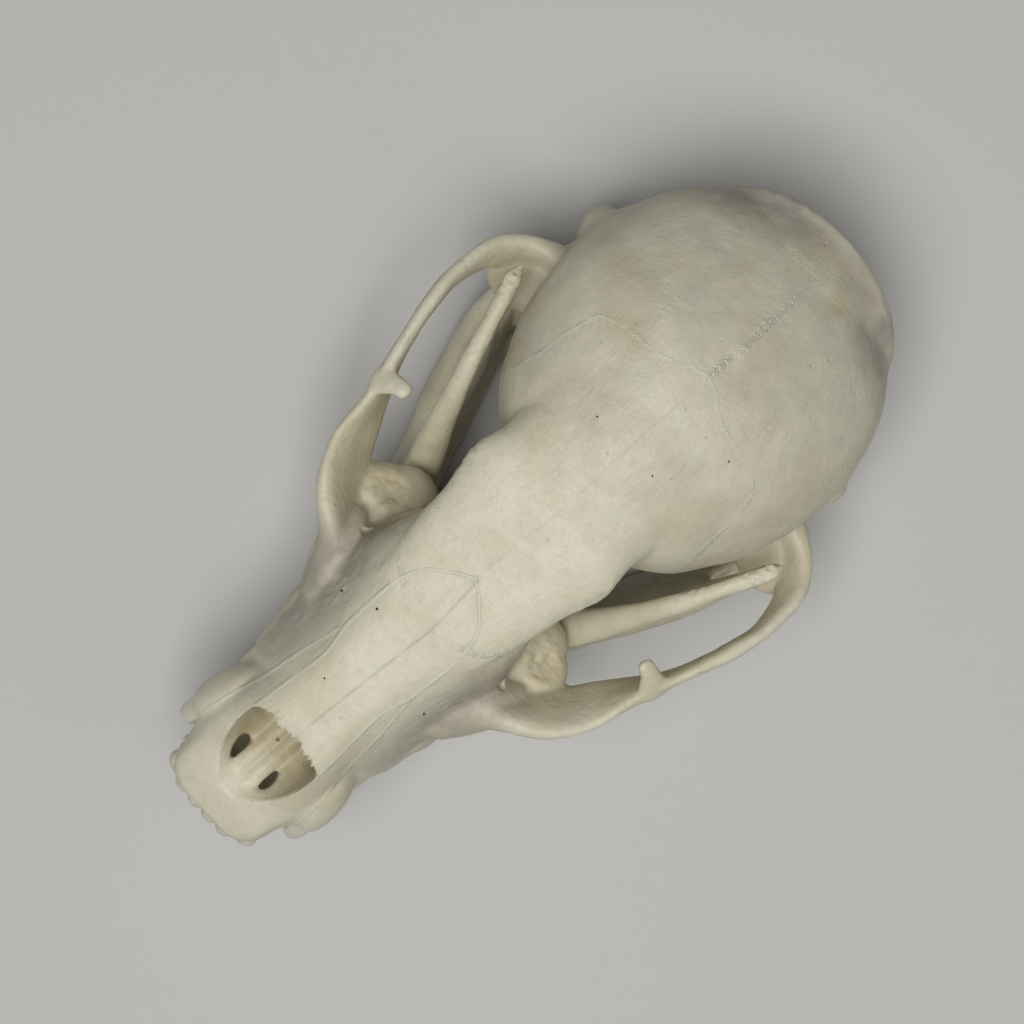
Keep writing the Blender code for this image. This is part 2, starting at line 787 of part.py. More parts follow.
# Canines: x, y, z, half length and half width, from root to tip.
UPPER_FANG = (
    (9.0, 13.0, 12.0, 1.9, 1.5),
    (9.9, 10.6, 6.0, 2.3, 1.7),
    (10.5, 9.0, 1.5, 2.2, 1.6),
    (10.9, 8.5, -3.0, 1.6, 1.2),
    (11.1, 9.1, -7.4, 0.5, 0.5),
)
LOWER_FANG = (
    (5.6, 11.0, -10.5, 1.5, 1.4),
    (6.3, 8.4, -6.5, 2.0, 1.7),
    (7.0, 6.4, -3.4, 1.7, 1.4),
    (7.8, 5.3, -0.6, 1.1, 1.0),
    (8.3, 5.2, 1.8, 0.4, 0.4),
)
UPPER_TIP_Z = 0.0
LOWER_TIP_Z = -0.4


def upper_teeth():
    """The twenty teeth of the upper jaw."""
    teeth = []
    for side in (1, -1):
        for name, tooth in UPPER_FRONT_TEETH.items():
            teeth.append(front_tooth(name, tooth, side, UPPER_TIP_Z - 0.6, -1))
        teeth.append(fang("canine", UPPER_FANG, side))
        for name, tooth in UPPER_CHEEK_TEETH.items():
            teeth.append(cheek_tooth(name, tooth, side, UPPER_TIP_Z, -1))
    return teeth


def lower_teeth(side):
    """The ten teeth of one half of the lower jaw."""
    teeth = []
    for name, tooth in LOWER_FRONT_TEETH.items():
        teeth.append(front_tooth(name, tooth, side, LOWER_TIP_Z - 0.2, 1))
    teeth.append(fang("canine", LOWER_FANG, side))
    for name, tooth in LOWER_CHEEK_TEETH.items():
        teeth.append(cheek_tooth(name, tooth, side, LOWER_TIP_Z, 1))
    return teeth


def grow_in(body, pieces):
    """Fuses pieces to a body, one after the other."""
    for piece in pieces:
        combined(body, piece, "UNION")
    remove(pieces)


def prism(name, outline, low, high, shear=0.0, level=0.0):
    """A block over a plan outline, which holds at a level; shear moves it back with height."""
    rings = []
    for z in (low, high):
        rings.append([(x, y + shear * (z - level), z) for x, y in outline])
    return loft(name, rings)


def grown(name, thing, amount=SEAM):
    """A copy of a closed form whose faces all lie further out."""
    body = bmesh.new()
    body.from_mesh(thing.data)
    bmesh.ops.remove_doubles(body, verts=body.verts, dist=1e-7)
    body.normal_update()
    moved = [v.co + v.normal * v.calc_shell_factor() * amount * MM for v in body.verts]
    for v, place in zip(body.verts, moved):
        v.co = place
    return object_from(body, name)


def islands(thing):
    """The closed surfaces of a mesh as objects, largest first. The mesh goes."""
    source = bmesh.new()
    source.from_mesh(thing.data)
    left = set(source.verts)
    found = []
    while left:
        edge = [left.pop()]
        group = set(edge)
        while edge:
            v = edge.pop()
            for e in v.link_edges:
                w = e.other_vert(v)
                if w not in group:
                    group.add(w)
                    edge.append(w)
        left -= group
        found.append(group)
    made = []
    for group in found:
        body = bmesh.new()
        twin = {v: body.verts.new(v.co) for v in group}
        for f in {f for v in group for f in v.link_faces}:
            body.faces.new([twin[v] for v in f.verts])
        volume = abs(body.calc_volume())
        made.append((volume, object_from(body, thing.name)))
    source.free()
    remove([thing])
    made.sort(key=lambda pair: -pair[0])
    return [piece for _, piece in made]


def largest(thing, name):
    """Only the largest closed surface of a mesh, under a name."""
    pieces = islands(thing)
    remove(pieces[1:])
    pieces[0].name = name
    return pieces[0]


def taken(whole, region, name):
    """The bone inside a region, parted from the rest by a seam."""
    piece = bpy.data.objects.new(name, whole.data.copy())
    bpy.context.scene.collection.objects.link(piece)
    combined(piece, region, "INTERSECT")
    around = grown("around", region)
    combined(whole, around, "DIFFERENCE")
    remove([region, around])
    return largest(piece, name)


def saw_cut(whole, centre, sizes, turn):
    """A thin slot through a bar: sizes of the slab, turned by three angles in degrees."""
    body = bmesh.new()
    bmesh.ops.create_cube(body, size=1.0)
    turned = Matrix.Identity(3)
    for axis, angle in zip("XYZ", turn):
        turned = Matrix.Rotation(math.radians(angle), 3, axis) @ turned
    for v in body.verts:
        p = turned @ Vector(c * r for c, r in zip(v.co, sizes)) + Vector(centre)
        v.co = p * MM
    slab = object_from(body, "slot")
    combined(whole, slab, "DIFFERENCE")
    remove([slab])


def mirrored_outline(half):
    """A closed plan outline from its left half, listed from front to back."""
    return list(half) + [(-x, y) for x, y in reversed(half) if x > 0]


NASAL_EDGE = (
    (12.5, 6.4, 17.6),
    (22.0, 6.4, 20.6),
    (30.0, 6.2, 23.6),
    (37.0, 5.2, 25.6),
    (42.0, 3.4, 27.4),
    (45.2, 1.2, 28.6),
)
FRONTAL_EDGE = (
    (0.0, 46.2),
    (2.6, 45.6),
    (5.6, 41.6),
    (8.4, 42.8),
    (11.0, 44.6),
    (15.0, 46.0),
    (20.0, 52.0),
    (20.0, 60.0),
    (17.8, 65.0),
    (16.4, 70.0),
    (15.8, 75.0),
    (14.8, 78.8),
    (11.4, 80.0),
    (8.0, 80.7),
    (4.6, 81.6),
    (2.2, 83.0),
    (0.0, 83.6),
)
OCCIPITAL_EDGE = (
    (0.0, 107.6),
    (5.0, 107.2),
    (9.5, 105.8),
    (13.0, 103.4),
    (16.0, 100.8),
    (18.8, 98.2),
    (20.2, 97.0),
    (20.2, 125.0),
    (0.0, 125.0),
)


def parted_cranium(whole):
    """The bones of the upper skull, each one solid, parted along the seams."""
    bones = []
    rings = []
    for y, half, floor in NASAL_EDGE:
        rings.append([(half, y, floor), (half, y, 45.0), (-half, y, 45.0), (-half, y, floor)])
    bones.append(taken(whole, loft("nasal_region", rings), "nasal_bones"))
    frontal = prism("frontal_region", mirrored_outline(FRONTAL_EDGE), 15.0, 60.0)
    bones.append(taken(whole, frontal, "frontal_bones"))
    occipital = prism(
        "occipital_region",
        mirrored_outline(OCCIPITAL_EDGE),
        -15.0,
        60.0,
        shear=0.15,
        level=33.0,
    )
    bones.append(taken(whole, occipital, "occipital_bone"))
    for side, word in ((1, "left"), (-1, "right")):
        region = ball(
            "bulla_region", (11.8, 89.4, 3.4), (7.4, 9.4, 6.4), (0, 0, -18), side, detail=2
        )
        bones.append(taken(whole, region, "ear_chamber_" + word))
        saw_cut(whole, (side * 22.2, 44.8, 13.0), (15.6, SEAM, 20.0), (0, 0, side * -54))
        saw_cut(whole, (side * 29.8, 64.8, 19.0), (8.0, SEAM, 14.0), (-36, 0, side * -15))
    saw_cut(whole, (0, 61.5, 8.0), (24.0, SEAM, 20.0), (0, 0, 0))
    pieces = islands(whole)
    for piece in pieces:
        middle = sum((v.co for v in piece.data.vertices), Vector()) / len(piece.data.vertices)
        middle /= MM
        if abs(middle.x) > 20:
            piece.name = "cheekbone_left" if middle.x > 0 else "cheekbone_right"
        elif middle.y < 50:
            piece.name = "upper_jaw"
        else:
            piece.name = "braincase"
    kept = []
    for name in ("upper_jaw", "braincase", "cheekbone_left", "cheekbone_right"):
        kept.append(bpy.data.objects[name])
    remove([piece for piece in pieces if piece not in kept])
    return bones + kept


def set_down(bones):
    """Tips the skull to the way it rests, sets it on the floor and flattens what bears."""
    tip = Matrix.Rotation(-math.radians(REST_PITCH_DEG), 4, "X")
    for bone in bones:
        bone.data.transform(tip)
    points = np.array([v.co for bone in bones for v in bone.data.vertices])
    low, high = points.min(axis=0), points.max(axis=0)
    shift = (-(low[0] + high[0]) / 2, -(low[1] + high[1]) / 2, -low[2] - FLAT_DEPTH * MM)
    for bone in bones:
        bone.data.transform(Matrix.Translation(shift))
    body = bmesh.new()
    bmesh.ops.create_cube(body, size=1.0)
    for v in body.verts:
        v.co = Vector((v.co.x * 0.2, v.co.y * 0.2, (v.co.z - 0.5) * 0.02))
    block = object_from(body, "floor_block")
    for bone in bones:
        if min(v.co.z for v in bone.data.vertices) < 0:
            combined(bone, block, "DIFFERENCE")
    remove([block])
    return shift


def bone_material(name, colour):
    """A matt bone finish."""
    material = bpy.data.materials.new(name)
    material.use_nodes = True
    shader = material.node_tree.nodes["Principled BSDF"]
    shader.inputs["Base Color"].default_value = (*colour, 1.0)
    shader.inputs["Roughness"].default_value = 0.6
    return material


def main():
    """Builds the skull."""
    for thing in list(bpy.data.objects):
        bpy.data.objects.remove(thing, do_unlink=True)
    whole = thinned(cranium(), CRANIUM_TRIANGLES)
    bones = parted_cranium(whole)
    upper = bpy.data.objects["upper_jaw"]
    grow_in(upper, upper_teeth())
    for side, word in ((1, "left"), (-1, "right")):
        half = thinned(jaw(side), JAW_TRIANGLES)
        half.name = "jaw_" + word
        grow_in(half, lower_teeth(side))
        bones.append(half)
    set_down(bones)
    for bone in bones:
        bone.data.materials.clear()
        bone.data.materials.append(bone_material(bone.name + "_bone", (0.78, 0.74, 0.62)))
        bone.data.polygons.foreach_set("use_smooth", [True] * len(bone.data.polygons))


main()
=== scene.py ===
"""The looks of a raccoon skull at life size, lying as it rests on a pale floor.

The bone is modelled in millimetres in the frame of the tooth row: x to the animal's left,
y from the front teeth to the back of the head, z up from the tips of the upper cheek teeth.
Each finished piece is then tipped and set down in metres where its solid lies.
"""

import logging
import math
from dataclasses import dataclass, field, fields
from enum import Enum
from typing import Sequence

import bmesh
import bpy
import numpy as np
from mathutils import Matrix, Vector


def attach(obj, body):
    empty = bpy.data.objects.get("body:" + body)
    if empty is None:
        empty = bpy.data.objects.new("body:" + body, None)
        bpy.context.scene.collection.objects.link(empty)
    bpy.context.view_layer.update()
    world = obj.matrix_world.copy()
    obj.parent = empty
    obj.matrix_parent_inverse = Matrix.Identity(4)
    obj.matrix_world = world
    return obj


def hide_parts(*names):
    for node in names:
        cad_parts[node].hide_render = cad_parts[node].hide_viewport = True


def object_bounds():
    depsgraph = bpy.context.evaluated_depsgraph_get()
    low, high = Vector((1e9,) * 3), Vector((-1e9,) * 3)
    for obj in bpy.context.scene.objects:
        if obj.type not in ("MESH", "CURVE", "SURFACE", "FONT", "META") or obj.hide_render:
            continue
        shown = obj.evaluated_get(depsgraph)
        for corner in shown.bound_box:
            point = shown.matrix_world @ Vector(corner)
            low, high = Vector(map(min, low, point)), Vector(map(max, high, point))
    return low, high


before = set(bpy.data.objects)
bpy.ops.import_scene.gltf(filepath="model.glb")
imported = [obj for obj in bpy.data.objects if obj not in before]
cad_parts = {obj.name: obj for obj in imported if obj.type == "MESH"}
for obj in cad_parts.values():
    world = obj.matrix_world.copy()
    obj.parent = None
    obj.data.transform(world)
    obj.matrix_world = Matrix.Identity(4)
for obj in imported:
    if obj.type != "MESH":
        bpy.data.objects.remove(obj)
CAD_BOX = [list(corner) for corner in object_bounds()]

Row = tuple[float, ...]
Thing = bpy.types.Object

MM = 0.001

# How the skull lies: nose tipped down on the lower jaw, and where the tooth row's zero is.
REST_PITCH = math.radians(13.0)
REST_PLACE = Vector((0.0, -58.3154, 25.3194))

# Fineness of the bone's skin, in millimetres.
VOXEL = 0.33
# How far edges are rounded over, in square millimetres.
SOFT_EDGE = 0.17
CRISP_EDGE = 0.04
# Edges that meet at more than this stay sharp.
SHARP_ANGLE = math.radians(52)
# Distance between the rings of a trunk, in millimetres.
RING_STEP = 0.5
# How many rings round over each end of a bar, and how far to each side of a ring the bar's
# direction is measured, in millimetres.
END_RINGS = 4
BAR_REACH = 0.05

# Landmarks, in millimetres.
SNOUT_TIP_Y = 0.7
NASAL_TIP_Y = 15.7
WAIST_Y = 62.5
CREST_Y = 112.0
CASE_HALF_WIDTH = 23.7
ARCH_HALF_WIDTH = 32.5

# How far from a suture's line it is stored, where it has faded out and over what distance,
# the largest stored distance, the distance between the line's points, the value where there
# is none, and how many vertices are measured at once.
SUTURE_REACH = 3.0
SUTURE_END = 2.0
SUTURE_FADE = 0.8
SUTURE_LIMIT = 4
SUTURE_SPACING = 0.25
NO_SUTURE = 99.0
CHUNK = 20000

# How many plain waves make an uneven field, and the height that they reach together.
WAVE_COUNT = 14
WAVE_HEIGHT = 5.3
# The fields over every bone: height and length in millimetres, and seed. The last is the
# seed of the uneven patches.
OVERALL_WAVES = ((0.1, 11.0, 3), (0.035, 3.6, 4))
PATCH_SEED = 7

# Where the front edge of the nasal bones starts to fray, how far back that reaches, and the
# half width of the frayed edge and of its fading ends.
FRAY_START_Y = 19.0
FRAY_DEPTH = 4.0
FRAY_HALF_WIDTH = 5.8
FRAY_FADE = 1.2

log = logging.getLogger("skull")


class Side(Enum):
    """The animal's own sides, as the sign of x."""

    LEFT = 1
    RIGHT = -1


class Operation(Enum):
    """How a tool acts on a body."""

    CUT = "DIFFERENCE"
    KEEP = "INTERSECT"


class View(Enum):
    """The plane in which a suture's line is drawn, as the two axes that it uses."""

    FROM_ABOVE = (0, 1)
    FROM_BELOW = (0, 1, -1)
    FROM_SIDE = (1, 2)


# Shapes


class SmoothCurve:
    """A curve that passes smoothly through rows of values, with no overshoot between them."""

    def __init__(self, stations: Sequence[float], rows: Sequence[Row]) -> None:
        """Works out the slopes at the stations.

        Args:
            stations: Rising places along the curve.
            rows: The values at each station.
        """
        self.stations = np.asarray(stations, float)
        self.rows = np.asarray(rows, float)
        steps = np.diff(self.stations)[:, None]
        slopes = np.diff(self.rows, axis=0) / steps
        self.slopes = np.zeros_like(self.rows)
        self.slopes[0], self.slopes[-1] = slopes[0], slopes[-1]
        before, after = slopes[:-1], slopes[1:]
        same_way = before * after > 0
        mean = 2 * before * after / np.where(same_way, before + after, 1)
        self.slopes[1:-1] = np.where(same_way, mean, 0)

    def at(self, place: float) -> np.ndarray:
        """The row of values at a place.

        Args:
            place: Where along the curve.

        Returns:
            One value for each column.
        """
        last = len(self.stations) - 2
        i = int(np.clip(np.searchsorted(self.stations, place) - 1, 0, last))
        h = self.stations[i + 1] - self.stations[i]
        u = float(np.clip((place - self.stations[i]) / h, 0, 1))
        return (
            (2 * u**3 - 3 * u**2 + 1) * self.rows[i]
            + (u**3 - 2 * u**2 + u) * h * self.slopes[i]
            + (3 * u**2 - 2 * u**3) * self.rows[i + 1]
            + (u**3 - u**2) * h * self.slopes[i + 1]
        )


def curve_along(path: Sequence[Row], dimensions: int) -> tuple[SmoothCurve, float]:
    """A curve through points, measured by the length along it.

    Args:
        path: Rows that start with a point's coordinates.
        dimensions: How many coordinates there are.

    Returns:
        The curve and its length.
    """
    along = [0.0]
    for a, b in zip(path, path[1:]):
        along.append(along[-1] + math.dist(a[:dimensions], b[:dimensions]))
    return SmoothCurve(along, path), along[-1]


def squared_circle(count: int, squareness: float) -> np.ndarray:
    """Points of a rounded square with a radius of one.

    Args:
        count: How many points.
        squareness: 1 is a circle, and less is squarer.

    Returns:
        An array of count rows with a cosine and a sine.
    """
    angles = 2 * math.pi * np.arange(count) / count
    both = np.stack([np.cos(angles), np.sin(angles)], axis=1)
    return np.sign(both) * np.abs(both) ** squareness


def select_only(things: Sequence[Thing]) -> None:
    """Selects things and makes the first of them active.

    Args:
        things: What the next operator acts on.
    """
    bpy.ops.object.select_all(action="DESELECT")
    for thing in things:
        thing.select_set(True)
    bpy.context.view_layer.objects.active = things[0]


def remove(things: Sequence[Thing]) -> None:
    """Takes helpers out of the scene.

    Args:
        things: The helpers.
    """
    for thing in things:
        bpy.data.objects.remove(thing, do_unlink=True)


def from_body(body: bmesh.types.BMesh, name: str) -> Thing:
    """An object from a closed bmesh with its faces turned outwards.

    Args:
        body: The bmesh, which is freed.
        name: The object's name.

    Returns:
        The new object.
    """
    bmesh.ops.recalc_face_normals(body, faces=body.faces)
    if body.calc_volume(signed=True) < 0:
        bmesh.ops.reverse_faces(body, faces=body.faces)
    mesh = bpy.data.meshes.new(name)
    body.to_mesh(mesh)
    body.free()
    thing = bpy.data.objects.new(name, mesh)
    bpy.context.scene.collection.objects.link(thing)
    return thing


def skin_over(name: str, rings: Sequence[np.ndarray]) -> Thing:
    """A closed skin over rings of equal count, each end closed about its middle.

    Args:
        name: The object's name.
        rings: Arrays of points, from one end to the other.

    Returns:
        The new object.
    """
    count = len(rings[0])
    body = bmesh.new()
    rows = [[body.verts.new(tuple(p)) for p in ring] for ring in rings]
    for lower, upper in zip(rows, rows[1:]):
        for i in range(count):
            j = (i + 1) % count
            body.faces.new((lower[i], lower[j], upper[j], upper[i]))
    for row, ring in ((rows[0], rings[0]), (rows[-1], rings[-1])):
        middle = body.verts.new(tuple(np.mean(ring, axis=0)))
        for i in range(count):
            body.faces.new((middle, row[i], row[(i + 1) % count]))
    return from_body(body, name)


def modified(thing: Thing, kind: str, **settings: object) -> Thing:
    """Adds a modifier with its settings and applies it.

    Args:
        thing: The object.
        kind: Blender's name for the modifier's kind.
        **settings: The modifier's settings.

    Returns:
        The same object.
    """
    modifier = thing.modifiers.new(kind.lower(), kind)
    for name, value in settings.items():
        setattr(modifier, name, value)
    select_only([thing])
    bpy.ops.object.modifier_apply(modifier=modifier.name)
    return thing


def softened(thing: Thing, rounding: float) -> Thing:
    """Rounds edges over.

    Args:
        thing: The object, with a skin of even fineness.
        rounding: How much, in square millimetres.

    Returns:
        The same object.
    """
    turns = round(rounding / (0.25 * VOXEL**2))
    return modified(thing, "SMOOTH", factor=0.5, iterations=turns) if turns else thing


def fused(name: str, things: Sequence[Thing], rounding: float) -> Thing:
    """Overlapping forms grown into one skin with their meeting lines rounded over.

    Args:
        name: The new object's name.
        things: Closed forms, which are used up.
        rounding: How much edges are rounded over, in square millimetres.

    Returns:
        The one object.
    """
    select_only(things)
    if len(things) > 1:
        bpy.ops.object.join()
    whole = bpy.context.view_layer.objects.active
    whole.name = name
    modified(whole, "REMESH", mode="VOXEL", voxel_size=VOXEL)
    return softened(whole, rounding)


def combined(body: Thing, tool: Thing, operation: Operation) -> Thing:
    """A Boolean of the body with a tool, applied. The tool stays.

    Args:
        body: The object that changes.
        tool: The object that it meets.
        operation: How they meet.

    Returns:
        The body.
    """
    settings = {"operation": operation.value, "solver": "MANIFOLD", "object": tool}
    return modified(body, "BOOLEAN", **settings)


class Form:
    """A closed form with a skin over rings, given for the left side or the middle."""

    def rings(self, side: Side) -> list[np.ndarray]:
        """The form's rings of points, from one end to the other."""
        raise NotImplementedError

    def build(self, name: str, side: Side = Side.LEFT) -> Thing:
        """Makes the form.

        Args:
            name: The object's name.
            side: The side that it is on.

        Returns:
            The new object.
        """
        return skin_over(name, self.rings(side))


class Group:
    """Forms that grow together, in the order of its fields."""

    def forms(self) -> list[Thing]:
        """Builds each trunk once, in the middle, and every other form on both sides.

        Returns:
            The forms, field by field.
        """
        made = []
        for item in fields(self):
            form = getattr(self, item.name)
            for side in (Side.LEFT,) if isinstance(form, Trunk) else Side:
                made.append(form.build(item.name, side))
        return made


@dataclass(frozen=True)
class Trunk(Form):
    """A body along y. Each row has a station's half width low down and at the roof, and the
    heights of its floor and its roof. Its sides are hollowed where the flare is below 1."""

    stations: Row
    rows: tuple[Row, ...]
    squareness: float = 0.8
    count: int = 64
    flare: float = 1.0

    def rings(self, side: Side) -> list[np.ndarray]:
        """The rings from front to back.

        Args:
            side: The side that it is on.

        Returns:
            Arrays of points.
        """
        curve = SmoothCurve(self.stations, self.rows)
        ring = squared_circle(self.count, self.squareness)
        rings = []
        for y in np.arange(self.stations[0], self.stations[-1] + 0.01, RING_STEP):
            low, high, floor, roof = curve.at(y)
            z = (floor + roof) / 2 + ring[:, 1] * (roof - floor) / 2
            share = np.clip((z - floor) / (roof - floor), 0, 1) ** self.flare
            x = side.value * ring[:, 0] * (low + (high - low) * share)
            rings.append(np.stack([x, np.full(self.count, y), z], axis=1))
        return rings


@dataclass(frozen=True)
class Bar(Form):
    """A bar along a path, with its ends rounded over. Each row has x, y, z, half depth, half
    thickness and the tilt in degrees that leans its lower edge inwards."""

    path: tuple[Row, ...]
    squareness: float = 1.0
    count: int = 28
    steps: int = 48
    blunt: float = 0.6

    def rings(self, side: Side) -> list[np.ndarray]:
        """The rings along the path.

        Args:
            side: The side that it is on.

        Returns:
            Arrays of points.
        """
        curve, length = curve_along(self.path, 3)
        end = min(self.blunt, 0.2 * length)
        places = [end * (1 - math.cos(math.pi / 2 * k / END_RINGS)) for k in range(END_RINGS)]
        stations = places + list(np.linspace(end, length - end, self.steps))
        stations += [length - p for p in reversed(places)]
        ring = squared_circle(self.count, self.squareness)
        rings = []
        for t in stations:
            row = curve.at(t)
            ahead = curve.at(min(t + BAR_REACH, length))
            behind = curve.at(max(t - BAR_REACH, 0))
            forward = Vector(ahead[:3] - behind[:3]).normalized()
            level = forward.cross(Vector((0, 0, 1))).normalized()
            up = level.cross(forward).normalized()
            turned = Matrix.Rotation(math.radians(row[5]), 3, forward)
            up, level = turned @ up, turned @ level
            near = min(t, length - t)
            shrink = math.sqrt(max(1 - (1 - min(near / end, 1)) ** 2, 0.02))
            points = (
                np.array(Vector(row[:3]))
                + ring[:, :1] * np.array(level) * row[4] * shrink
                + ring[:, 1:] * np.array(up) * row[3] * shrink
            )
            points[:, 0] *= side.value
            rings.append(points)
        return rings


@dataclass(frozen=True)
class Flange(Form):
    """A thin edge that stands out from a dome and runs into it with a shallow gutter: its
    outer edge, and the middle of the dome."""

    edge: tuple[Row, ...]
    centre: Row
    # The outline across it, from its edge: towards the dome's top, and outwards.
    section: tuple[Row, ...] = (
        (0, 0), (0.5, -0.2), (1.2, -0.8), (2.4, -1.6), (4.2, -2.5), (6.8, -3.6), (9.5, -5.4),
        (6, -7), (0, -6), (-1.1, -3.5), (-0.8, -0.6), (-0.45, -0.1),
    )
    steps: int = 80

    def rings(self, side: Side) -> list[np.ndarray]:
        """The rings along the edge.

        Args:
            side: The side that it is on.

        Returns:
            Arrays of points.
        """
        curve = SmoothCurve(range(len(self.edge)), self.edge)
        last = len(self.edge) - 1
        rings = []
        for t in np.linspace(0, last, self.steps):
            edge = Vector(curve.at(t))
            forward = Vector(curve.at(min(t + 0.02, last)) - curve.at(max(t - 0.02, 0)))
            out = (edge - Vector(self.centre)).normalized()
            up = out.cross(forward).normalized()
            points = np.array([edge + up * a + out * b for a, b in self.section])
            points[:, 0] *= side.value
            rings.append(points)
        return rings


@dataclass(frozen=True)
class Block(Form):
    """A block over outlines in plan at a low and a high level."""

    low: tuple[Row, ...]
    high: tuple[Row, ...]
    bottom: float = -20.0
    top: float = 60.0

    def rings(self, side: Side) -> list[np.ndarray]:
        """The low and the high outline."""
        ends = ((self.low, self.bottom), (self.high, self.top))
        return [np.array([(side.value * x, y, z) for x, y in line]) for line, z in ends]


@dataclass(frozen=True)
class Ball(Form):
    """An ellipsoid with its three radii along axes turned by degrees."""

    centre: Row
    radii: Row
    turn: Row = (0, 0, 0)
    detail: int = 5

    def build(self, name: str, side: Side = Side.LEFT) -> Thing:
        """Makes the ellipsoid.

        Args:
            name: The object's name.
            side: The side that it is on.

        Returns:
            The new object.
        """
        across = side.value
        tip, lean, turn = (math.radians(angle) for angle in self.turn)
        bpy.ops.object.select_all(action="DESELECT")
        bpy.ops.mesh.primitive_ico_sphere_add(
            subdivisions=self.detail, radius=1.0,
            location=(across * self.centre[0], *self.centre[1:]),
            rotation=(tip, across * lean, across * turn),
            scale=self.radii,
        )
        thing = bpy.context.object
        thing.name = name
        bpy.ops.object.transform_apply(location=True, rotation=True, scale=True)
        return thing


# Surface relief


def waves(points: np.ndarray, length: float, seed: int) -> np.ndarray:
    """A gentle uneven field between about -1 and 1.

    Args:
        points: Places in millimetres.
        length: The typical distance between its crests.
        seed: Which field.

    Returns:
        One value for each point.
    """
    chance = np.random.default_rng(seed)
    total = np.zeros(len(points))
    for _ in range(WAVE_COUNT):
        direction = chance.normal(size=3)
        direction /= np.linalg.norm(direction)
        pitch = 2 * math.pi / (length * chance.uniform(0.75, 1.5))
        total += np.sin(points @ direction * pitch + chance.uniform(0, 2 * math.pi))
    return total / WAVE_HEIGHT


@dataclass(frozen=True)
class Patch:
    """A place where the bone is uneven, on both sides of the skull."""

    centre: Row
    radii: Row
    height: float
    length: float
    lift: float = 0.0

    def offsets(self, points: np.ndarray) -> np.ndarray:
        """How far each point moves along its normal.

        Args:
            points: Places in millimetres.

        Returns:
            Offsets in millimetres.
        """
        inside = falloff(points, self.centre, self.radii)
        return inside * (self.lift + self.height * waves(points, self.length, PATCH_SEED))


def falloff(points: np.ndarray, centre: Row, radii: Row) -> np.ndarray:
    """1 in the middle of an ellipsoid and of its mirror image, and 0 outside them.

    Args:
        points: Places in millimetres.
        centre: The middle, on the left side.
        radii: The three radii.

    Returns:
        One share for each point.
    """
    mirrored = np.abs(points * (1, 0, 0)) + points * (0, 1, 1)
    away = np.linalg.norm((mirrored - np.array(centre)) / np.array(radii), axis=1)
    share = np.clip(1 - away, 0, 1)
    return share * share * (3 - 2 * share)


def vertex_values(thing: Thing, name: str) -> np.ndarray:
    """Three numbers for each of an object's vertices.

    Args:
        thing: The object.
        name: What they are: co for places, or normal.

    Returns:
        One row for each vertex.
    """
    flat = np.empty(len(thing.data.vertices) * 3)
    thing.data.vertices.foreach_get(name, flat)
    return flat.reshape(-1, 3)


def move_points(thing: Thing, points: np.ndarray) -> None:
    """Gives an object's vertices new places."""
    thing.data.vertices.foreach_set("co", points.ravel())
    thing.data.update()


def roughened(thing: Thing, patches: Sequence[Patch]) -> None:
    """Moves a skin's points out and in for its uneven places.

    Args:
        thing: The object.
        patches: The uneven places.
    """
    points = vertex_values(thing, "co")
    moved = sum(patch.offsets(points) for patch in patches)
    moved += sum(high * waves(points, length, seed) for high, length, seed in OVERALL_WAVES)
    move_points(thing, points + vertex_values(thing, "normal") * moved[:, None])


def frayed(thing: Thing) -> None:
    """Frays the front edge of the nasal bones into short fibres.

    Args:
        thing: The upper skull.
    """
    points = vertex_values(thing, "co")
    x, y, z = points.T
    edge = np.clip((FRAY_HALF_WIDTH - np.abs(x)) / FRAY_FADE, 0, 1) * (z > 17.5)
    share = np.clip((FRAY_START_Y - y) / FRAY_DEPTH, 0, 1) * edge
    teeth = np.abs(((x * 1.5 + 0.4 * np.sin(2.3 * x)) % 1.0) - 0.5) * 2
    points[:, 1] += share * share * (1.1 * teeth - 0.3 + 0.4 * np.sin(1.1 * x + 1.0))
    move_points(thing, points)


# Sutures


